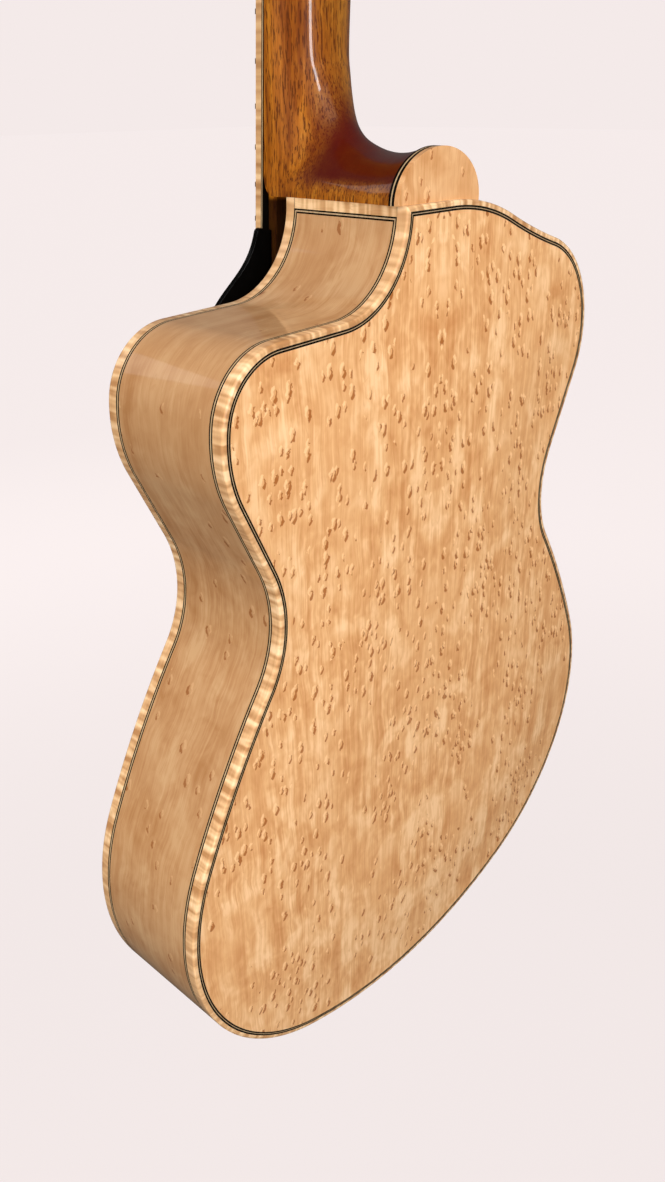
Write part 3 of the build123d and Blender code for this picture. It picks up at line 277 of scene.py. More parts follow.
def plate(name, side, inset, height, thickness, holes=(), spacing=5.0, **options):
    """Half a plate (side -1 bass, +1 treble): its outer face follows height(points), with cut holes."""
    rim = OUTLINE + MITERS * inset
    half = []
    for p, q in zip(rim, np.roll(rim, -1, 0)):
        if p[0] * side >= 0:
            half.append(tuple(p))
        if p[0] * q[0] < 0:
            t = p[0] / (p[0] - q[0])
            half.append((0.0, p[1] + t * (q[1] - p[1])))
    half = np.array(half)
    central = np.abs(half[:, 0]) < 1e-6
    first = int(np.argmax(central & np.roll(central, 1)))
    half = np.roll(half, -first, 0)
    seam = np.linspace(half[-1][1], half[0][1], int(abs(half[-1][1] - half[0][1]) / spacing))[1:-1]
    half = np.r_[half, np.c_[np.zeros(len(seam)), seam]]
    lo, hi = half.min(0), half.max(0)
    gx, gz = np.meshgrid(np.arange(lo[0], hi[0], spacing), np.arange(lo[1], hi[1], spacing))
    grid = np.c_[gx.ravel(), gz.ravel()]
    grid[:, 0] += np.where((np.round((grid[:, 1] - lo[1]) / spacing) % 2) > 0, spacing / 2, 0)
    grid = grid[inside(grid, half)]
    grid = grid[(inset_distance(grid) > inset + spacing * 0.6) & (np.abs(grid[:, 0]) > spacing * 0.6)]
    mine = [np.array(h) for h in holes if np.mean(np.array(h)[:, 0]) * side > 0]
    for h in mine:
        grid = grid[~inside(grid, h)]
    flat = [tuple(p) for p in half]
    edges = [(i, (i + 1) % len(half)) for i in range(len(half))]
    for h in mine:
        base = len(flat)
        flat += [tuple(p) for p in h]
        edges += [(base + i, base + (i + 1) % len(h)) for i in range(len(h))]
    flat += [tuple(p) for p in grid]
    fill = 0 if mine else 1
    out, _, tris, *_ = delaunay_2d_cdt([Vector(p) for p in flat], edges, [], fill, 1e-5)
    out = np.array([tuple(v) for v in out])
    tris = [t for t in tris if len(t) == 3]
    mids = np.array([out[list(t)].mean(0) for t in tris])
    keep = inside(mids, half)
    for h in mine:
        keep &= ~inside(mids, h)
    tris = [tuple(t) for t, k in zip(tris, keep) if k]
    used = sorted({i for t in tris for i in t})
    order = {v: i for i, v in enumerate(used)}
    out = out[used]
    tris = [tuple(order[i] for i in t) for t in tris]
    y = height(out)
    under = y - np.sign(y[len(y) // 2] - MID_Y) * thickness
    count = len(out)
    vertices = [(p[0], a, p[1]) for level in (y, under) for p, a in zip(out, level)]
    faces = list(tris) + [tuple(i + count for i in t[::-1]) for t in tris]
    seen = {}
    for t in tris:
        for i in range(3):
            e = (t[i], t[(i + 1) % 3])
            seen[e] = seen.get(e, 0) + 1
    for a, b in list(seen):
        if (b, a) not in seen:
            faces.append((b, a, a + count, b + count))
    return add_object(name, vertices, faces, **options)


def refine(node, width, material, segments=2):
    """A copy of a CAD node with its edges rounded by a width in mm, which stands for the node."""
    source = nodes[node]
    mesh = source.data.copy()
    bm = bmesh.new()
    bm.from_mesh(mesh)
    bmesh.ops.remove_doubles(bm, verts=bm.verts, dist=2e-6)
    bmesh.ops.dissolve_limit(bm, angle_limit=math.radians(1), verts=bm.verts, edges=bm.edges)
    bm.to_mesh(mesh)
    bm.free()
    if mesh.attributes.get("custom_normal"):
        mesh.attributes.remove(mesh.attributes["custom_normal"])
    obj = bpy.data.objects.new(node + "_rounded", mesh)
    bpy.context.scene.collection.objects.link(obj)
    bevel = obj.modifiers.new("edges", "BEVEL")
    bevel.width = width * MM
    bevel.segments = segments
    bevel.limit_method = "ANGLE"
    bevel.angle_limit = math.radians(30)
    bevel.harden_normals = False
    return dress(obj, 35, material, source["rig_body"], [node])


# -------------------- materials
class Mat:
    """A small builder for node materials."""

    def __init__(self, name):
        self.material = bpy.data.materials.new(name)
        self.material.use_nodes = True
        self.tree = self.material.node_tree
        self.shader = self.tree.nodes["Principled BSDF"]

    def node(self, kind, **settings):
        made = self.tree.nodes.new(kind)
        for key, value in settings.items():
            setattr(made, key, value)
        return made

    def put(self, socket, value):
        if isinstance(value, bpy.types.NodeSocket):
            self.tree.links.new(value, socket)
        elif value is not None:
            socket.default_value = value

    def set(self, **values):
        for key, value in values.items():
            self.put(self.shader.inputs[key.replace("_", " ")], value)

    def paint(self, colour):
        self.put(self.shader.inputs["Base Color"], colour)

    def math(self, operation, a, b=None, clamp=False):
        made = self.node("ShaderNodeMath", operation=operation, use_clamp=clamp)
        self.put(made.inputs[0], a)
        self.put(made.inputs[1], b)
        return made.outputs[0]

    def place(self, uv=False):
        coord = self.node("ShaderNodeTexCoord")
        return coord.outputs["UV" if uv else "Object"]

    def scaled(self, vector, scale, offset=(0, 0, 0)):
        made = self.node("ShaderNodeMapping")
        self.put(made.inputs[0], vector)
        made.inputs["Scale"].default_value = scale
        made.inputs["Location"].default_value = offset
        return made.outputs[0]

    def split(self, vector):
        made = self.node("ShaderNodeSeparateXYZ")
        self.put(made.inputs[0], vector)
        return made.outputs

    def join(self, x, y, z):
        made = self.node("ShaderNodeCombineXYZ")
        for socket, value in zip(made.inputs, (x, y, z)):
            self.put(socket, value)
        return made.outputs[0]

    def noise(self, vector, scale, detail=3, rough=0.5, distortion=0.0):
        made = self.node("ShaderNodeTexNoise")
        self.put(made.inputs["Vector"], vector)
        made.inputs["Scale"].default_value = scale
        made.inputs["Detail"].default_value = detail
        made.inputs["Roughness"].default_value = rough
        made.inputs["Distortion"].default_value = distortion
        return made.outputs["Fac"]

    def cells(self, vector, scale):
        made = self.node("ShaderNodeTexVoronoi", voronoi_dimensions="2D")
        self.put(made.inputs["Vector"], vector)
        made.inputs["Scale"].default_value = scale
        return made.outputs

    def ramp(self, fac, stops):
        made = self.node("ShaderNodeValToRGB")
        self.put(made.inputs[0], fac)
        ramp = made.color_ramp
        while len(ramp.elements) < len(stops):
            ramp.elements.new(0.5)
        for element, (at, colour) in zip(ramp.elements, stops):
            element.position = at
            element.color = (*colour, 1)
        return made.outputs[0]

    def mix(self, fac, a, b):
        made = self.node("ShaderNodeMix", data_type="RGBA")
        self.put(made.inputs[0], fac)
        for socket, value in ((made.inputs[6], a), (made.inputs[7], b)):
            self.put(socket, (*value, 1) if isinstance(value, tuple) else value)
        return made.outputs[2]

    def step(self, value, low, high):
        made = self.node("ShaderNodeMapRange", interpolation_type="SMOOTHSTEP")
        self.put(made.inputs[0], value)
        made.inputs[1].default_value = low
        made.inputs[2].default_value = high
        return made.outputs[0]

    def bump(self, height, distance, strength):
        made = self.node("ShaderNodeBump")
        self.put(made.inputs["Height"], height)
        made.inputs["Distance"].default_value = distance
        made.inputs["Strength"].default_value = strength
        self.put(self.shader.inputs["Normal"], made.outputs[0])

    def lacquer(self, roughness=0.3, coat=0.8, coat_roughness=0.06):
        self.set(Roughness=roughness, Coat_Weight=coat, Coat_Roughness=coat_roughness,
                 Specular_IOR_Level=0.15)

    def weigh(self, *parts):
        """The sum of several values, each given with its weight."""
        total = self.math("MULTIPLY", *parts[0])
        for part in parts[1:]:
            total = self.math("ADD", total, self.math("MULTIPLY", *part))
        return total

    def rest(self, value):
        """What is left of 1."""
        return self.math("SUBTRACT", 1.0, value)


def maple(name, pale, warm, dark, eye=None, density=0.0, uv=False, seed=0.0, curl=0.0, mirrored=True):
    """Lacquered maple: fine grain along one axis, soft clouds, and small bird's eyes in clusters, each
    with a painted highlight.
    """
    m = Mat(name)
    x, y, z = m.split(m.place(uv))
    if uv:
        across, run = y, x
    else:
        across, run = (m.math("ABSOLUTE", x) if mirrored else x), z
    shifted = m.math("ADD", across, seed)
    flat = m.join(shifted, 0.0, run)
    warp = m.noise(flat, 30, 2)
    wobble = m.math("MULTIPLY", m.math("SUBTRACT", warp, 0.5), 0.007)
    bent = m.join(m.math("ADD", shifted, wobble), 0.0, run)
    streaks = m.noise(m.scaled(bent, (1000, 1, 26)), 1.0, 4, 0.65)
    ribbons = m.noise(m.scaled(bent, (330, 1, 12)), 1.0, 3, 0.6)
    bands = m.noise(m.scaled(bent, (95, 1, 5.5)), 1.0, 3, 0.55, 0.4)
    clouds = m.noise(m.scaled(flat, (46, 1, 30)), 1.0, 3, 0.55, 0.5)
    ripple = m.noise(m.scaled(bent, (150, 1, 90)), 1.0, 2, 0.5, 0.8)
    tone = m.weigh((streaks, 0.18), (bands, 0.20), (ribbons, 0.20), (clouds, 0.32), (ripple, 0.15))
    if curl:
        waves = m.noise(m.scaled(flat, (40, 1, curl)), 1.0, 1, 0.5, 0.3)
        tone = m.weigh((tone, 0.5), (waves, 0.5))
    colour = m.ramp(tone, [(0.43, dark), (0.515, warm), (0.59, pale)])
    patch = m.noise(m.scaled(flat, (17, 1, 9), (0.3, 0, 0.6)), 1.0, 2, 0.5, 0.5)
    colour = m.mix(m.math("MULTIPLY", m.step(patch, 0.46, 0.68), 0.5), colour, warm)
    rings = m.math("FRACT", m.math("MULTIPLY", bands, 9.0))
    line = m.rest(m.step(m.math("ABSOLUTE", m.math("SUBTRACT", rings, 0.5)), 0.0, 0.07))
    colour = m.mix(m.math("MULTIPLY", line, 0.28), colour, dark)
    relief = streaks
    if density:
        # painted highlight: each eye gets a pale crescent beside its dark mark, standing in for light
        # on the eye's relief
        bright = tuple(min(c * 1.12, 0.95) for c in pale)
        jitter = m.noise(m.scaled(m.join(shifted, run, 0.0), (1, 0.7, 1)), 420, 2, 0.6)
        pushed = m.math("MULTIPLY", m.math("SUBTRACT", jitter, 0.5), 0.0042)
        stretched = m.math("MULTIPLY", m.math("SUBTRACT", run, pushed), 0.5)
        spot = m.join(m.math("ADD", shifted, pushed), stretched, 0.0)
        crowd = m.noise(m.scaled(flat, (1.3, 1, 0.6), (0.7, 0, 0.2)), 24, 2, 0.5)
        crowd = m.math("SUBTRACT", crowd, m.math("MULTIPLY", m.step(run, -0.62, -0.80), 0.07))
        shade, light, halo = 0.0, 0.0, 0.0
        for scale, shift, size, share in ((105, 0.0, 0.20, density), (165, 0.31, 0.22, density * 0.7)):
            moved = (shift - 0.10 / scale, shift - 0.07 / scale, 0)
            eyes = m.cells(m.scaled(spot, (1, 1, 1), (shift, shift, 0)), scale)
            aside = m.cells(m.scaled(spot, (1, 1, 1), moved), scale)
            pick = m.split(eyes["Color"])[0]
            chosen = m.math("LESS_THAN", pick, m.math("MULTIPLY", m.step(crowd, 0.36, 0.60), share))
            near = m.rest(m.step(eyes["Distance"], size * 0.5, size))
            other = m.rest(m.step(aside["Distance"], size * 0.5, size))
            wide = m.rest(m.step(eyes["Distance"], size, size * 2.4))
            # the dark crescent is the eye's own mark with its painted shaded side; the pale crescent
            # opposite is a painted highlight
            dark_side = m.math("SUBTRACT", near, other, True)
            painted_highlight_side = m.math("SUBTRACT", other, near, True)
            shade = m.math("MAXIMUM", shade, m.math("MULTIPLY", dark_side, chosen))
            light = m.math("MAXIMUM", light, m.math("MULTIPLY", painted_highlight_side, chosen))
            halo = m.math("MAXIMUM", halo, m.math("MULTIPLY", wide, chosen))
        colour = m.mix(m.math("MULTIPLY", halo, 0.55), colour, warm)
        colour = m.mix(m.math("MULTIPLY", m.step(light, 0.1, 0.7), 0.6), colour, bright)
        marks = m.step(shade, 0.08, 0.55)
        colour = m.mix(m.math("MULTIPLY", marks, 0.82), colour, eye)
        relief = m.math("SUBTRACT", m.math("MULTIPLY", streaks, 0.4), marks)
    m.paint(colour)
    m.lacquer()
    m.bump(relief, 0.00006, 0.3)
    return m.material


def purfling(name, low, high, direction=None, start=0.0):
    """Black, white, black lines laid side by side; the white lies from low to high, in mm.

    They are measured across the strip's UV, or from start along a direction.
    """
    m = Mat(name)
    if direction:
        made = m.node("ShaderNodeVectorMath", operation="DOT_PRODUCT")
        m.put(made.inputs[0], m.place())
        made.inputs[1].default_value = tuple(c / MM for c in direction)
        value = m.math("SUBTRACT", made.outputs["Value"], start)
    else:
        value = m.math("MULTIPLY", m.split(m.place(uv=True))[1], 1 / MM)
    edge = 0.06
    white = m.math("MULTIPLY", m.step(value, low - edge, low + edge),
                   m.rest(m.step(value, high - edge, high + edge)))
    fibre = m.noise(m.scaled(m.place(), (900, 900, 260)), 1.0, 3, 0.6)
    black = m.ramp(fibre, [(0.3, (0.001, 0.001, 0.001)), (0.75, (0.005, 0.004, 0.003))])
    light = m.ramp(fibre, [(0.3, (0.36, 0.24, 0.13)), (0.75, (0.54, 0.40, 0.24))])
    m.paint(m.mix(white, black, light))
    m.set(Roughness=0.5, Specular_IOR_Level=0.06)
    return m.material


def mahogany():
    """Glossy golden-red mahogany with dark pores, painted shade on the heel and painted shadow inside
    the body.
    """
    m = Mat("mahogany_lacquered")
    point = m.place()
    _, y, z = m.split(point)
    bands = m.noise(m.scaled(point, (95, 95, 5)), 1.0, 3, 0.5, 0.6)
    fine = m.noise(m.scaled(point, (640, 640, 24)), 1.0, 4, 0.6)
    pores = m.noise(m.scaled(point, (1500, 1500, 150)), 1.0, 2, 0.5)
    patch = m.noise(m.scaled(point, (45, 45, 12)), 1.0, 2, 0.5)
    tone = m.weigh((bands, 0.42), (fine, 0.33), (patch, 0.25))
    colour = m.ramp(tone, [(0.38, (0.15, 0.034, 0.002)), (0.49, (0.32, 0.098, 0.006)),
                           (0.60, (0.48, 0.190, 0.018))])
    holes = m.step(pores, 0.53, 0.60)
    colour = m.mix(m.math("MULTIPLY", holes, 0.8), colour, (0.055, 0.010, 0.001))
    # painted shade: the heel behind the neck is painted dark red, standing in for its shade and the
    # dark reflections in its curve
    above_body = m.step(z, (TOP_Z + 2) * MM, (TOP_Z + 11) * MM)
    heel = m.math("MULTIPLY", m.step(y, -0.004, 0.016), above_body)
    colour = m.mix(m.math("MULTIPLY", heel, 0.96), colour, (0.060, 0.0015, 0.0008))
    # painted shadow: below the body's rim the mahogany (tongue and blocks) is painted near black for
    # the shadow inside the body
    painted_shadow_in_body = m.rest(m.step(z, (TOP_Z - 3) * MM, (TOP_Z - 0.5) * MM))
    m.paint(m.mix(m.math("MULTIPLY", painted_shadow_in_body, 0.92), colour, (0.012, 0.003, 0.002)))
    m.lacquer(0.3, 0.7, 0.03)
    m.bump(m.rest(holes), 0.00003, 0.2)
    return m.material


def ebony():
    """Oiled ebony: almost black, with a faint brown grain along the piece."""
    m = Mat("ebony_oiled")
    grain = m.noise(m.scaled(m.place(), (900, 900, 40)), 1.0, 4, 0.6)
    broad = m.noise(m.scaled(m.place(), (120, 120, 9)), 1.0, 2, 0.5)
    tone = m.weigh((grain, 0.6), (broad, 0.4))
    m.paint(m.ramp(tone, [(0.35, (0.006, 0.005, 0.004)), (0.7, (0.032, 0.024, 0.019))]))
    m.set(Roughness=m.ramp(grain, [(0.3, (0.30,) * 3), (0.8, (0.50,) * 3)]), Coat_Weight=0.25,
          Coat_Roughness=0.2)
    m.bump(grain, 0.00005, 0.3)
    return m.material


def spruce():
    """Close straight grain, amber lines on a cream ground, bookmatched at the centre joint."""
    m = Mat("spruce_lacquered")
    x, _, z = m.split(m.place())
    across = m.math("ABSOLUTE", x)
    flat = m.join(across, 0.0, z)
    wobble = m.math("MULTIPLY", m.noise(m.scaled(flat, (20, 1, 3)), 1.0, 1), 0.004)
    lined = m.math("ADD", across, wobble)
    turns = m.weigh((lined, 3400), (m.math("MULTIPLY", lined, lined), -5200))
    wave = m.math("FRACT", m.math("DIVIDE", turns, 2 * math.pi))
    late = m.math("POWER", wave, 3.0)
    silk = m.noise(m.scaled(flat, (60, 1, 260)), 1.0, 2, 0.5, 0.5)
    fine = m.noise(m.scaled(flat, (2600, 1, 60)), 1.0, 3, 0.6)
    tone = m.weigh((late, 0.55), (fine, 0.3))
    colour = m.ramp(tone, [(0.08, (0.80, 0.50, 0.22)), (0.45, (0.66, 0.36, 0.13)),
                           (0.85, (0.42, 0.19, 0.055))])
    m.paint(m.mix(m.math("MULTIPLY", m.step(silk, 0.5, 0.75), 0.25), colour, (0.92, 0.66, 0.36)))
    m.lacquer()
    m.bump(late, 0.00004, 0.2)
    return m.material


def metal(name, colour, roughness):
    """Plain metal with faint smudges and fine scratches."""
    m = Mat(name)
    smudge = m.noise(m.place(), 160, 3, 0.6)
    scratch = m.noise(m.scaled(m.place(), (900, 900, 72)), 1.0, 3, 0.6)
    darker = tuple(c * 0.8 for c in colour)
    m.paint(m.ramp(smudge, [(0.35, darker), (0.65, colour)]))
    rougher = roughness + 0.08
    m.set(Metallic=1.0, Roughness=m.ramp(scratch, [(0.3, (roughness,) * 3), (0.75, (rougher,) * 3)]))
    m.bump(scratch, 0.00001, 0.15)
    return m.material


def wound():
    """Round-wound bronze strings with fine ridges on the bass side, plain steel beyond."""
    m = Mat("string_metal")
    x, _, z = m.split(m.place())
    ridges = m.math("SINE", m.math("MULTIPLY", z, 2 * math.pi / 0.00045))
    tone = m.noise(m.place(), 300, 2)
    heavy = m.math("LESS_THAN", x, 0.004)
    colour = m.mix(heavy, (0.72, 0.72, 0.72), (0.66, 0.43, 0.20))
    m.paint(m.mix(m.math("MULTIPLY", tone, 0.4), colour, (0.35, 0.24, 0.14)))
    m.set(Metallic=1.0, Roughness=0.32)
    m.bump(m.math("MULTIPLY", ridges, heavy), 0.00008, 0.6)
    return m.material


def pearl():
    """Pale shell with soft green and rose clouds."""
    m = Mat("pearl")
    sheen = m.noise(m.scaled(m.place(), (90, 90, 60)), 1.0, 4, 0.6, 2.5)
    m.paint(m.ramp(sheen, [(0.32, (0.52, 0.62, 0.60)), (0.48, (0.86, 0.82, 0.76)),
                           (0.62, (0.70, 0.60, 0.66)), (0.75, (0.90, 0.90, 0.86))]))
    m.lacquer(0.22, 0.9, 0.05)
    return m.material


def bone():
    """Cream bone with a faint grain."""
    m = Mat("bone")
    grain = m.noise(m.scaled(m.place(), (300, 1200, 1200)), 1.0, 3, 0.6)
    m.paint(m.ramp(grain, [(0.3, (0.70, 0.60, 0.43)), (0.7, (0.86, 0.80, 0.66))]))
    m.set(Roughness=m.ramp(grain, [(0.3, (0.30,) * 3), (0.7, (0.42,) * 3)]))
    return m.material


def guard_black():
    """Glossy black plastic or lacquered ebony with faint rub marks."""
    m = Mat("guard_black")
    rub = m.noise(m.scaled(m.place(), (160, 160, 160)), 1.0, 4, 0.6)
    m.paint(m.ramp(rub, [(0.3, (0.0008, 0.0008, 0.0008)), (0.8, (0.0022, 0.0020, 0.0020))]))
    m.set(Roughness=m.ramp(rub, [(0.35, (0.14,) * 3), (0.8, (0.24,) * 3)]), Specular_IOR_Level=0.12)
    return m.material


def lining_wood():
    """Raw pale wood for the linings inside the body."""
    m = Mat("lining_wood")
    grain = m.noise(m.scaled(m.place(), (260, 900, 90)), 1.0, 4, 0.6)
    m.paint(m.ramp(grain, [(0.3, (0.36, 0.20, 0.09)), (0.7, (0.56, 0.37, 0.19))]))
    m.set(Roughness=0.62)
    m.bump(grain, 0.0001, 0.4)
    return m.material


TILT = math.radians(3.2)  # the neck's lean
NECK_NORMAL = (0, -math.cos(TILT), math.sin(TILT))
HEEL_VENEER_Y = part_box("heel_veneers")[0].y / MM

BACK_MAPLE = maple("birdseye_maple", (0.87, 0.560, 0.305), (0.70, 0.375, 0.163), (0.54, 0.235, 0.083),
                   (0.29, 0.072, 0.004), 0.95, seed=0.02)
CAP_MAPLE = maple("heel_cap_maple", (0.77, 0.470, 0.245), (0.66, 0.355, 0.16), (0.53, 0.245, 0.088),
                  (0.36, 0.11, 0.025), 0.6, seed=0.21, mirrored=False)
# painted shade: the sides' maple is painted darker than the back's, standing in for the shade on the
# sides
SHADED_SIDE_MAPLE = maple("side_maple", (0.53, 0.32, 0.16), (0.455, 0.245, 0.110), (0.37, 0.175, 0.067),
                   (0.26, 0.085, 0.022), 0.16, uv=True, seed=0.4)
CURLY = maple("curly_maple", (0.86, 0.60, 0.35), (0.66, 0.39, 0.19), (0.44, 0.215, 0.085), uv=True,
              seed=0.1, curl=260)
CURLY_BOARD = maple("curly_maple_board", (0.80, 0.55, 0.31), (0.60, 0.35, 0.165), (0.40, 0.20, 0.08),
                    seed=0.6, curl=230, mirrored=False)
CURLY_CROSS = maple("curly_maple_cross", (0.84, 0.58, 0.33), (0.64, 0.38, 0.18), (0.44, 0.215, 0.085),
                    uv=True, seed=0.8, curl=260)
BWB = purfling("purfling_lines", 0.91, 1.20)
BWB_SIDE = purfling("side_purfling_lines", 0.74, 1.36)
BWB_BOARD = purfling("board_veneer_lines", 0.5, 1.0, NECK_NORMAL)
BWB_HEEL = purfling("heel_veneer_lines", 1.25, 1.95, (0, 1, 0), HEEL_VENEER_Y)
MAHOGANY = mahogany()
EBONY = ebony()
SPRUCE = spruce()
GOLD = metal("gold_plate", (0.90, 0.62, 0.24), 0.14)
BRASS = metal("brass", (0.72, 0.48, 0.18), 0.2)
STEEL = metal("steel", (0.62, 0.62, 0.63), 0.25)
FRET_METAL = metal("fret_wire", (0.74, 0.73, 0.70), 0.2)
STRINGS = wound()
PEARL = pearl()
BONE = bone()
GUARD = guard_black()
LINING = lining_wood()

plain = {
    "back_lining": LINING, "front_lining": LINING, "neck_block": MAHOGANY, "tail_block": MAHOGANY,
    "tone_bars": SPRUCE, "truss_rod": STEEL, "truss_rod_nut": STEEL, "frets": FRET_METAL,
    "position_inlays": PEARL, "tuner_housings": GOLD, "tuner_screws": GOLD, "tuner_bushings": GOLD,
    "strings": STRINGS, "bridge_posts": BRASS, "bridge_wheel_bass": BRASS, "bridge_wheel_treble": BRASS,
    "tail_wire": STEEL, "end_pin": EBONY, "small_screws": BRASS, "fingerboard": EBONY,
    "fingerboard_binding": CURLY_BOARD, "fingerboard_veneer": BWB_BOARD, "heel_veneers": BWB_HEEL,
    "headstock_veneer": EBONY, "truss_rod_cover": EBONY, "nut": BONE, "pickguard": GUARD,
    "pickguard_bracket": BRASS, "bridge_base": EBONY, "bridge_saddle": EBONY, "tailpiece": EBONY,
    "tail_saddle": EBONY, "heel_cap": CAP_MAPLE, "neck": MAHOGANY, "back_bass_half": BACK_MAPLE,
    "back_treble_half": BACK_MAPLE, "soundboard_bass_half": SPRUCE, "soundboard_treble_half": SPRUCE,
    "bass_side": SHADED_SIDE_MAPLE, "treble_side": SHADED_SIDE_MAPLE, "back_binding": CURLY, "front_binding": CURLY,
    "back_purfling": BWB, "front_purfling": BWB, "side_purfling": BWB_SIDE,
    "cutaway_end_binding": CURLY_CROSS, "cutaway_end_purfling": BWB_SIDE,
}
for number in range(1, 7):
    plain[f"tuner_key_{number}"] = GOLD
    plain[f"string_post_{number}"] = GOLD
for node, material in plain.items():
    nodes[node].data.materials.clear()
    nodes[node].data.materials.append(material)


# -------------------- sides, bindings and lines
TAIL_AGAIN = len(OUTLINE)


def start_past_strip(k, x, y, z, inset):
    """The bass side's end at the heel stops where the crosswise strip begins."""
    return (min(x, HEEL_SIDE - RIM), y, z) if k == CORNER else (x, y, z)


side_profile = [
    (0, SIDE_FRONT + PURFLING), (0, SIDE_BACK - PURFLING), (PURFLING_DEPTH, SIDE_BACK - PURFLING),
    (PURFLING_DEPTH, SIDE_BACK), (RIM, SIDE_BACK), (RIM, SIDE_FRONT), (PURFLING_DEPTH, SIDE_FRONT),
    (PURFLING_DEPTH, SIDE_FRONT + PURFLING),
]
ring("treble_side_wood", side_profile, 0, CORNER - 2, material=SHADED_SIDE_MAPLE, replaces=["treble_side"],
     slot="side_maple")
ring("bass_side_wood", side_profile, CORNER, TAIL_AGAIN, adjust=start_past_strip, material=SHADED_SIDE_MAPLE,
     replaces=["bass_side"], slot="side_maple")

SOFT_EDGE = 1.3  # how far the bindings' outer corners are rounded
ring("back_binding_strip",
     rounded([(0, SIDE_BACK, 0), (0, BACK_Y, 1), (RIM, BACK_Y, 0), (RIM, SIDE_BACK, 0)], SOFT_EDGE),
     material=CURLY, replaces=["back_binding"], slot="curly_maple")
beyond_saddle = next(i for i, p in enumerate(OUTLINE) if p[0] > SADDLE_HALF)
before_saddle = TAIL_AGAIN - next(i for i, p in enumerate(OUTLINE[::-1], 1) if p[0] < -SADDLE_HALF)


def meet_tail_saddle(k, x, y, z, inset):
    """The front strips butt against the tail saddle."""
    if k == beyond_saddle:
        return SADDLE_HALF, y, z
    if k == before_saddle:
        return -SADDLE_HALF, y, z
    return x, y, z


ring("front_binding_strip",
     rounded([(0, SIDE_FRONT, 0), (0, FRONT_Y, 1), (RIM, FRONT_Y, 0), (RIM, SIDE_FRONT, 0)], SOFT_EDGE),
     beyond_saddle, before_saddle, adjust=meet_tail_saddle, material=CURLY, replaces=["front_binding"],
     slot="curly_maple")
INNER = RIM + PURFLING
ring("back_purfling_lines",
     [(RIM, BACK_Y), (INNER, BACK_Y), (INNER, BACK_Y - PURFLING_DEPTH), (RIM, BACK_Y - PURFLING_DEPTH)],
     material=BWB, replaces=["back_purfling"], slot="purfling")
ring("front_purfling_lines",
     [(RIM, FRONT_Y), (INNER, FRONT_Y), (INNER, FRONT_Y + PURFLING_DEPTH),
      (RIM, FRONT_Y + PURFLING_DEPTH)],
     beyond_saddle, before_saddle, adjust=meet_tail_saddle, material=BWB, replaces=["front_purfling"],
     slot="purfling")


def mitre_end(k, x, y, z, inset):
    """The side lines are mitred where they meet the crosswise lines."""
    gap = min(SIDE_BACK - y if y > MID_Y else y - SIDE_FRONT, PURFLING)
    if k == CORNER - 1:
        return x, y, STRIP_Z - gap
    if k == CORNER - 2:
        return x, y, STRIP_LOW - LINE_GAP
    return start_past_strip(k, x, y, z, inset)


for name, outer, inner in (("side_lines_back", SIDE_BACK - PURFLING, SIDE_BACK),
                           ("side_lines_front", SIDE_FRONT + PURFLING, SIDE_FRONT)):
    ring(name, [(0, outer), (0, inner), (PURFLING_DEPTH, inner), (PURFLING_DEPTH, outer)], CORNER,
         TAIL_AGAIN + CORNER - 1, adjust=mitre_end, material=BWB_SIDE,
         replaces=["side_purfling"] if outer > MID_Y else (), slot="purfling")


def strip(name, corners, x_out, x_in, material, node, slot):
    """A crosswise strip at the heel end: corners are (y, z), with the lines' pattern across z."""
    size = len(corners)
    vertices = [(x_out, y, z) for y, z in corners] + [(x_in, y, z) for y, z in corners]
    faces = [tuple(range(size)), tuple(range(size, 2 * size))[::-1]]
    faces += [(i, (i + 1) % size, (i + 1) % size + size, i + size) for i in range(size)]
    uvs = [(v[1] * MM, (max(c[1] for c in corners) - v[2]) * MM) for v in vertices]
    return add_object(name, vertices, faces, uvs=uvs, material=material, replaces=[node], slot=slot)


strip("cross_lines",
      [(SIDE_FRONT, STRIP_Z), (SIDE_BACK, STRIP_Z), (SIDE_BACK - PURFLING, STRIP_LOW),
       (SIDE_FRONT + PURFLING, STRIP_LOW)],
      HEEL_SIDE, HEEL_SIDE - PURFLING_DEPTH, BWB_SIDE, "cutaway_end_purfling", "purfling")
GLUE = 0.25  # dark lines at both ends of the crosswise binding
strip("cross_binding_strip",
      [(SIDE_FRONT + GLUE, STRIP_Z), (SIDE_BACK - GLUE, STRIP_Z), (SIDE_BACK - GLUE, TOP_Z),
       (SIDE_FRONT + GLUE, TOP_Z)],
      HEEL_SIDE, HEEL_SIDE - RIM, CURLY_CROSS, "cutaway_end_binding", "curly_maple")
for name, low in (("glue_line_back", SIDE_BACK - GLUE), ("glue_line_front", SIDE_FRONT)):
    strip(name, [(low, STRIP_Z), (low + GLUE, STRIP_Z), (low + GLUE, TOP_Z), (low, TOP_Z)], HEEL_SIDE,
          HEEL_SIDE - RIM, EBONY, "cutaway_end_binding", "ebony")


# -------------------- back and soundboard
DOME_REACH = 42  # how far in from the lines the back has risen by nearly two thirds


def back_height(points):
    """The back: a low dome that starts flat at the lines."""
    d = np.clip(inset_distance(points) - INNER, 0, None)
    return BACK_Y + BACK_RISE * (1 - np.exp(-((d / DOME_REACH) ** 2)))


FLAT_RIM, CLIMB = 9, 64  # widths of the front's flat edge and of the climb inside it
FRONT_RISE_LOW = 8.0  # its rise under the fingerboard
LOW_FIELD, FADE = TOP_Z - 100, 90  # where that lower field ends, and the length of the change


def front_height(points):
    """The arched front: a flat rim, a smooth climb, lower under the fingerboard than at the bridge."""
    d = inset_distance(points)
    climb = smooth((d - FLAT_RIM) / CLIMB)
    rise = FRONT_RISE_LOW + (FRONT_RISE - FRONT_RISE_LOW) * smooth((LOW_FIELD - points[:, 1]) / FADE)
    return FRONT_Y - rise * climb


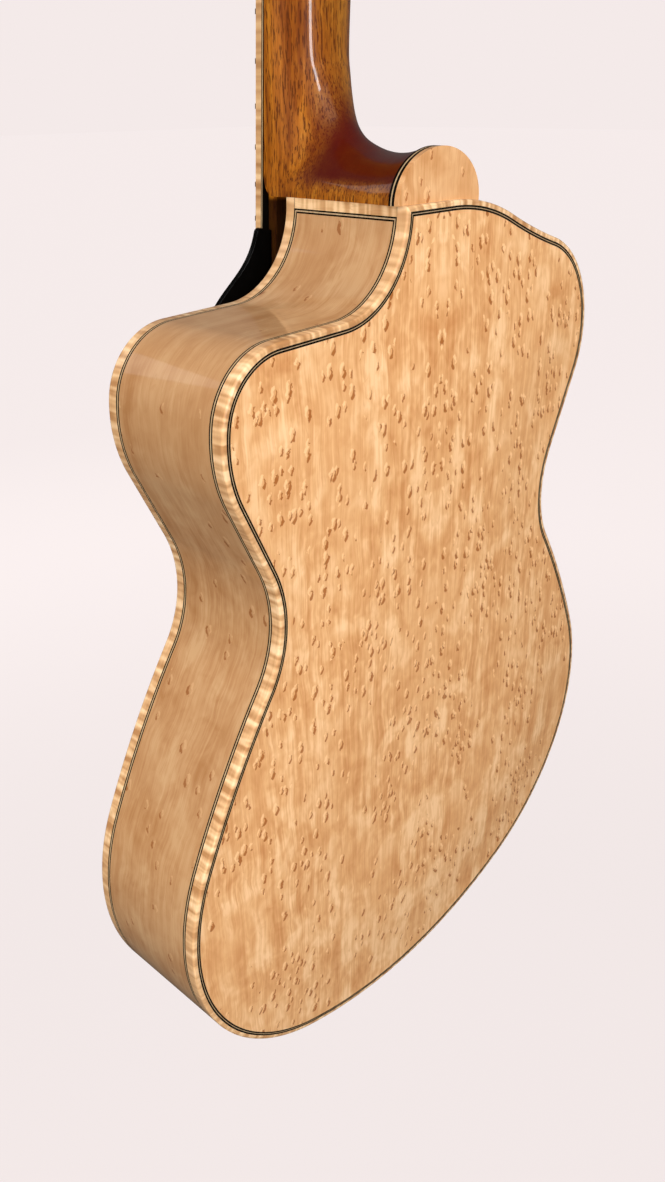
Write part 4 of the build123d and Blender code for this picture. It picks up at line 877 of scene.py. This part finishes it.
# an f-hole, in x and in z from the bridge: its middle line, its half widths and its round ends
HOLE_PATH = [(60, 62), (69, 62), (71, 40), (74, 5), (80, -35), (86, -57), (95, -56)]
HOLE_WIDTH = [1.5, 2.4, 3.6, 4.4, 3.6, 2.4, 1.5]
HOLE_EYES = [(60, 62, 6.5), (95, -56, 8.0)]


def catmull(rows, steps):
    """A smooth curve through rows of numbers."""
    rows = np.array(rows, float)
    padded = np.r_[[2 * rows[0] - rows[1]], rows, [2 * rows[-1] - rows[-2]]]
    made = []
    for i in range(1, len(padded) - 2):
        a, b, c, d = padded[i - 1:i + 3]
        for k in range(steps):
            t = k / steps
            made.append(0.5 * (2 * b + (c - a) * t + (2 * a - 5 * b + 4 * c - d) * t ** 2
                               + (3 * b - a - 3 * c + d) * t ** 3))
    made.append(padded[-2])
    return np.array(made)


sound_holes = []
for side in (-1, 1):
    line = catmull([(x, z, w) for (x, z), w in zip(HOLE_PATH, HOLE_WIDTH)], 8)
    run = np.gradient(line[:, :2], axis=0)
    run /= np.linalg.norm(run, axis=1)[:, None]
    normal = np.c_[-run[:, 1], run[:, 0]]
    loop = np.r_[line[:, :2] + normal * line[:, 2:], (line[:, :2] - normal * line[:, 2:])[::-1]]
    sound_holes.append([(side * x, z + BRIDGE_Z) for x, z in loop])
    for x, z, radius in HOLE_EYES:
        circle = [(side * (x + radius * math.cos(a)), z + BRIDGE_Z + radius * math.sin(a))
                  for a in np.linspace(0, 2 * math.pi, 28, endpoint=False)]
        sound_holes.append(circle)

for side, half in ((-1, "bass"), (1, "treble")):
    plate(f"back_{half}_plate", side, INNER, back_height, PLATE, material=BACK_MAPLE,
          replaces=[f"back_{half}_half"], slot="birdseye_maple")
    plate(f"soundboard_{half}_plate", side, INNER, front_height, PLATE, holes=sound_holes, spacing=4.0,
          material=SPRUCE, replaces=[f"soundboard_{half}_half"], slot="spruce")


# -------------------- neck
LEAN = (math.sin(TILT), math.cos(TILT))
HEAD_LEAN = TILT + math.radians(14)
NUT_HALF, WIDENING = 22.25, 0.0135
HEAD_DEPTH, HEAD_HALF, CROWN_LOW = 14, 29.5, 166
CROWN = [(HEAD_HALF, CROWN_LOW), (17.0, 170.0), (0.0, 178.0)]
SQUARE = 14  # a section's power: 2 is an ellipse, and this is a box with small rounds
ARC = 44  # faces round a section


def edge_half(t):
    """Half width of the neck, t below the nut."""
    return NUT_HALF + WIDENING * t


def glue_point(t, depth=0.0):
    """(y, z) on the neck's centre plane, t below the nut and so deep behind the fingerboard."""
    return (-t * LEAN[0] + depth * LEAN[1], -t * LEAN[1] - depth * LEAN[0])


def head_point(v, depth=0.0):
    """(y, z) on the headstock, v above its start and so deep behind its veneer."""
    start = (5 * LEAN[0] + 2 * LEAN[1], 5 * LEAN[1] - 2 * LEAN[0])
    lean_y, lean_z = math.sin(HEAD_LEAN), math.cos(HEAD_LEAN)
    return (start[0] + v * lean_y + depth * lean_z, start[1] + v * lean_z - depth * lean_y)


def crown_half(v):
    """Half width of the headstock near its crown, on the arc through the crown's three points."""
    (ax, ay), (bx, by), (cx, cy) = CROWN
    a2, b2, c2 = ax * ax + ay * ay, bx * bx + by * by, cx * cx + cy * cy
    d = 2 * (ax * (by - cy) + bx * (cy - ay) + cx * (ay - by))
    ux = (a2 * (by - cy) + b2 * (cy - ay) + c2 * (ay - by)) / d
    uy = (a2 * (cx - bx) + b2 * (ax - cx) + c2 * (bx - ax)) / d
    r = math.hypot(ax - ux, ay - uy)
    reach = math.sqrt(max(r * r - (v - uy) ** 2, 0))
    middle = HEAD_HALF / 2
    return min(ux - reach, ux + reach, key=lambda root: abs(root - middle))


# sections: (y, z) at the front, (y, z) at the deepest point, half width and the section's power
head_rows = []
for v in (178, 177, 175, 172, 169.5, 167.5, CROWN_LOW):
    head_rows.append((*head_point(v), *head_point(v, HEAD_DEPTH), max(crown_half(v), 0.3), SQUARE))
for v in (165, 120, 80, 50, 34, 31):
    half = HEAD_HALF + (CROWN_LOW - v) * 6 / 136
    head_rows.append((*head_point(v), *head_point(v, HEAD_DEPTH), half, SQUARE))
for v, half, power in ((29.5, 35.3, SQUARE), (27, 33.2, SQUARE), (23, 30.2, 12), (18, 27.0, 10),
                       (13, 24.9, 7), (8, 23.6, 5)):
    head_rows.append((*head_point(v), *head_point(v, HEAD_DEPTH if v > 10 else 14.4), half, power))
shaft = [(*glue_point(3), *glue_point(3, 15.6), edge_half(3), 3.2)]
shaft.append((*glue_point(14), *glue_point(14, 15.1), edge_half(14), 2.5))
for t in (26, 40, 80, 120, 160, 200, 240, 270):
    shaft.append((*glue_point(t), *glue_point(t, 14.5 + t * 7.1 / 377), edge_half(t) - 0.1, 2.08))
# the heel: a foot as t below the nut or as (y, z above the body), the deepest point, half width
heel = [
    (298, None, (3.6, 65.0), 26.1), (312, None, (5.1, 55.0), 26.2), (326, None, (7.3, 46.0), 26.3),
    (342, None, (10.4, 38.0), 26.4), (355, None, (14.7, 31.6), 26.6),
    (None, (-16, 0.5), (20.2, 26.8), 26.8), (None, (-2, 0), (26.8, 23.4), 27.0),
    (None, (14, 0), (34.5, 21.0), 27.4), (None, (33, 0), (43, 20.0), 28.0),
    (None, (48.5, 0), (52, 20.4), 29.0), (None, (57.0, 0), (58.5, 21.6), 30.0),
]
heel.append((None, (HEEL_VENEER_Y, 0), (HEEL_VENEER_Y, 23.2), 31.0))
for t, base, top, half in heel:
    foot = glue_point(t) if t else (base[0], base[1] + TOP_Z)
    shaft.append((*foot, top[0], top[1] + TOP_Z, half, 2.0))
sections = np.r_[np.array(head_rows), catmull([head_rows[-1]] + shaft, 7)[1:]]
SHOULDER_START, SHOULDER_RADIUS = 8.77, BASS_CHAIN[-1][0]


def shoulder_drop(x):
    """How far the bass shoulder has fallen below the body's end, x away from the centre."""
    return SHOULDER_RADIUS - math.sqrt(SHOULDER_RADIUS ** 2 - max(x - SHOULDER_START, 0) ** 2)


vertices, faces = [], []
for by, bz, cy, cz, half, power in sections:
    for k in range(ARC + 1):
        a = math.pi * k / ARC
        cos = math.cos(a)
        across = math.copysign(abs(cos) ** (2 / power), cos) if abs(cos) > 1e-9 else 0.0
        deep = abs(math.sin(a)) ** (2 / power) if 0 < k < ARC else 0.0
        low = shoulder_drop(-half * across) if k == ARC and abs(bz - TOP_Z) < 0.01 else 0.0
        vertices.append((half * across, by + (cy - by) * deep, bz + (cz - bz) * deep - low))
size = ARC + 1
for a in range(len(sections) - 1):
    for k in range(size):
        b = (k + 1) % size
        faces.append((a * size + k, a * size + b, (a + 1) * size + b, (a + 1) * size + k))
faces.append(tuple(range(size)))
faces.append(tuple(range((len(sections) - 1) * size, len(sections) * size))[::-1])
# the tongue that carries the fingerboard over the body
TONGUE_START, TONGUE_END, TONGUE_DEPTH, TONGUE_HALF = 350, 458, 5.5, 23
tongue = [glue_point(TONGUE_START), glue_point(TONGUE_END), glue_point(TONGUE_END, TONGUE_DEPTH),
          glue_point(TONGUE_START, TONGUE_DEPTH)]
base = len(vertices)
vertices += [(side * TONGUE_HALF, y, z) for side in (-1, 1) for y, z in tongue]
for face in ((0, 1, 2, 3), (7, 6, 5, 4), (0, 4, 5, 1), (1, 5, 6, 2), (2, 6, 7, 3), (3, 7, 4, 0)):
    faces.append(tuple(base + i for i in face))
add_object("neck_wood", vertices, faces, sharp=40, material=MAHOGANY, replaces=["neck"],
           slot="mahogany")


# -------------------- pieces with rounded edges
refine("heel_cap", width=0.8, material=CAP_MAPLE, segments=3)
refine("pickguard", width=0.5, material=GUARD)
refine("headstock_veneer", width=0.3, material=EBONY)
refine("truss_rod_cover", width=0.35, material=EBONY)
refine("tail_saddle", width=0.4, material=EBONY)
refine("pickguard_bracket", width=0.2, material=BRASS)


# -------------------- strings
STRING_GAUGES = [1.37, 1.07, 0.81, 0.61, 0.41, 0.30]  # from the bass side, where x is negative
NUT_PITCH, SADDLE_PITCH, TAIL_PITCH = 7.2, 10.4, 9.6
POST_SPOTS = [46, 90, 134, 134, 90, 46]  # up the headstock
POST_RADIUS = 2.5
WRAP_HEIGHT = 11.5  # of the turns on a post, in front of the veneer
TURNS, COIL_POINTS, COIL_RISE = 2.4, 70, 0.55
HEAD_UP = Vector((0, math.sin(HEAD_LEAN), math.cos(HEAD_LEAN)))
HEAD_OUT = Vector((0, -math.cos(HEAD_LEAN), math.sin(HEAD_LEAN)))
nut_at = glue_point(-2.5, -8.4)
saddle_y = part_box("bridge_saddle")[0].y / MM + 0.1
tail_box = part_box("tailpiece")
tail_at = (tail_box[0].y / MM + 0.8, tail_box[1].z / MM - 14)


def tube(name, path, radius, sides=10, **options):
    """A round rod along points, each (x, y, z); its texture runs along it."""
    path = [Vector(p) for p in path]
    vertices, faces, uvs = [], [], []
    normal, along = None, 0.0
    for i, p in enumerate(path):
        run = (path[min(i + 1, len(path) - 1)] - path[max(i - 1, 0)]).normalized()
        if normal is None:
            normal = run.orthogonal().normalized()
        normal = (normal - run * normal.dot(run)).normalized()
        other = run.cross(normal)
        along += (p - path[i - 1]).length if i else 0.0
        for k in range(sides):
            a = 2 * math.pi * k / sides
            vertices.append(tuple(p + (normal * math.cos(a) + other * math.sin(a)) * radius))
            uvs.append((along * MM, k / sides))
    for i in range(len(path) - 1):
        for k in range(sides):
            b = (k + 1) % sides
            faces.append((i * sides + k, i * sides + b, (i + 1) * sides + b, (i + 1) * sides + k))
    faces.append(tuple(range(sides)))
    faces.append(tuple(range((len(path) - 1) * sides, len(path) * sides))[::-1])
    return add_object(name, vertices, faces, uvs=uvs, **options)


def between(a, b, count):
    """Points from a to b in so many equal steps."""
    return [tuple(a[i] + (b[i] - a[i]) * k / count for i in range(3)) for k in range(count + 1)]


for index, gauge in enumerate(STRING_GAUGES):
    name = f"string_{index + 1}"
    place = index - 2.5
    radius = gauge / 2
    at_nut = (place * NUT_PITCH, *nut_at)
    at_saddle = (place * SADDLE_PITCH, saddle_y - radius, BRIDGE_Z)
    at_tail = (place * TAIL_PITCH, tail_at[0] - radius, tail_at[1])
    low, high = (Vector(c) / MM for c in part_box(f"string_post_{index + 1}"))
    post_x = (low.x + high.x) / 2
    side = 1 if post_x > 0 else -1
    wrap_yz = head_point(POST_SPOTS[index], -WRAP_HEIGHT - radius)
    coil_radius = POST_RADIUS + radius
    wrap = (post_x - side * coil_radius, *wrap_yz)
    speaking = tube(f"{name}_speaking", between(at_nut, at_saddle, 48), radius, material=STRINGS,
                    body=None, slot="string_wire", replaces=["strings"])
    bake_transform(speaking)
    after = tube(f"{name}_after", between(at_tail, at_saddle, 16), radius, material=STRINGS, body=None,
                 slot="string_wire")
    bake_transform(after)
    tube(f"{name}_head", between(at_nut, wrap, 12), radius, material=STRINGS, slot="string_wire")
    centre = Vector((post_x, *wrap_yz))
    coil = []
    for k in range(COIL_POINTS):
        turned = TURNS * k / (COIL_POINTS - 1)
        a = 2 * math.pi * turned
        arm = Vector((-side, 0, 0)) * math.cos(a) + HEAD_UP * math.sin(a)
        coil.append(tuple(centre + arm * coil_radius - HEAD_OUT * (turned * gauge * COIL_RISE)))
    tube(f"{name}_coil", coil, radius, sides=8, material=STRINGS, body=f"post_{index + 1}",
         slot="string_wire")


# -------------------- floor, light and camera
FLOOR_GAP = 0.75  # in metres: the guitar floats, as it does in the photograph
PALE = (0.905, 0.823, 0.815)
mesh = bpy.data.meshes.new("floor")
bm = bmesh.new()
bmesh.ops.create_grid(bm, x_segments=2, y_segments=2, size=40)
bm.to_mesh(mesh)
bm.free()
floor = bpy.data.objects.new("floor", mesh)
floor.location = (0, 0, CAD_BOX[0][2] - FLOOR_GAP)
bpy.context.scene.collection.objects.link(floor)
# the camera sees the floor as bright as the backdrop, and the guitar's lacquer sees it dark
pale = Mat("floor_pale")
cloud = pale.noise(pale.place(), 0.8, 2)
pale.paint(pale.ramp(cloud, [(0.3, (0.047, 0.043, 0.042)), (0.7, (0.052, 0.047, 0.046))]))
seen = pale.node("ShaderNodeLightPath").outputs["Is Camera Ray"]
px, py, _ = pale.split(pale.place())
away = pale.math("SQRT", pale.weigh((px, px), (py, py)))
glow = pale.math("ADD", 0.915, pale.math("MULTIPLY", pale.step(away, 0.9, 2.6), 0.085))
pale.set(Roughness=1.0, Emission_Color=(*PALE, 1), Emission_Strength=pale.math("MULTIPLY", seen, glow))
mesh.materials.append(pale.material)

# the studio is dim all round, so that dark lacquer stays dark, in front of a pale backdrop
world = bpy.data.worlds.new("studio")
world.use_nodes = True
tree = world.node_tree
dim = tree.nodes["Background"]
dim.inputs[0].default_value = (1.0, 0.95, 0.92, 1)
dim.inputs[1].default_value = 0.11
bright = tree.nodes.new("ShaderNodeBackground")
bright.inputs[0].default_value = (*PALE, 1)
chooser = tree.nodes.new("ShaderNodeMixShader")
tree.links.new(tree.nodes.new("ShaderNodeLightPath").outputs["Is Camera Ray"], chooser.inputs[0])
tree.links.new(dim.outputs[0], chooser.inputs[1])
tree.links.new(bright.outputs[0], chooser.inputs[2])
tree.links.new(chooser.outputs[0], tree.nodes["World Output"].inputs[0])
bpy.context.scene.world = world
bpy.context.scene.view_settings.view_transform = "Standard"


def area_light(name, place, target, size, power, tint=(1, 1, 1), mirrored=False):
    """A soft box that points at a target; the lacquer mirrors it only when asked."""
    light = bpy.data.lights.new(name, "AREA")
    light.shape = "RECTANGLE"
    light.size, light.size_y = size
    light.energy = power
    light.color = tint
    obj = bpy.data.objects.new(name, light)
    bpy.context.scene.collection.objects.link(obj)
    obj.location = place
    obj.rotation_mode = "QUATERNION"
    obj.rotation_quaternion = (Vector(target) - Vector(place)).to_track_quat("-Z", "Y")
    obj.visible_glossy = mirrored


area_light("key", (0.45, 1.75, 0.75), (0, 0, -0.5), (1.6, 1.6), 49, (1.0, 0.98, 0.95))
area_light("side", (2.4, 0.4, -0.25), (0, 0, -0.6), (2.0, 2.0), 60, (1.0, 0.97, 0.93))
area_light("top", (0.2, -0.4, 2.3), (0, 0, -0.6), (2.4, 2.4), 12)
area_light("front_fill", (-0.9, -2.6, 0.6), (0, 0, -0.5), (2.0, 2.0), 85)
area_light("front_sheen", (1.2, -2.4, 1.0), (0, 0, -0.4), (0.8, 0.8), 2, mirrored=True)
area_light("strip", (0.0, 1.9, -0.15), (0.0, 0, -0.15), (0.18, 1.3), 11, mirrored=True)
area_light("sheen", (-0.4, 2.6, 1.6), (0, 0, -0.4), (1.6, 1.6), 4, mirrored=True)

# the photograph's camera, as solved on the body's outline
camera_data = bpy.data.cameras.new("camera")
camera_data.sensor_width = 36
camera_data.lens = 29.03
camera_data.clip_start, camera_data.clip_end = 0.02, 100
camera = bpy.data.objects.new("camera", camera_data)
bpy.context.scene.collection.objects.link(camera)
camera.location = (0.38737, 0.35558, -0.31980)
camera.rotation_euler = [math.radians(a) for a in (62.6293, 0.5873, 132.3018)]
bpy.context.scene.camera = camera

bpy.context.view_layer.update()
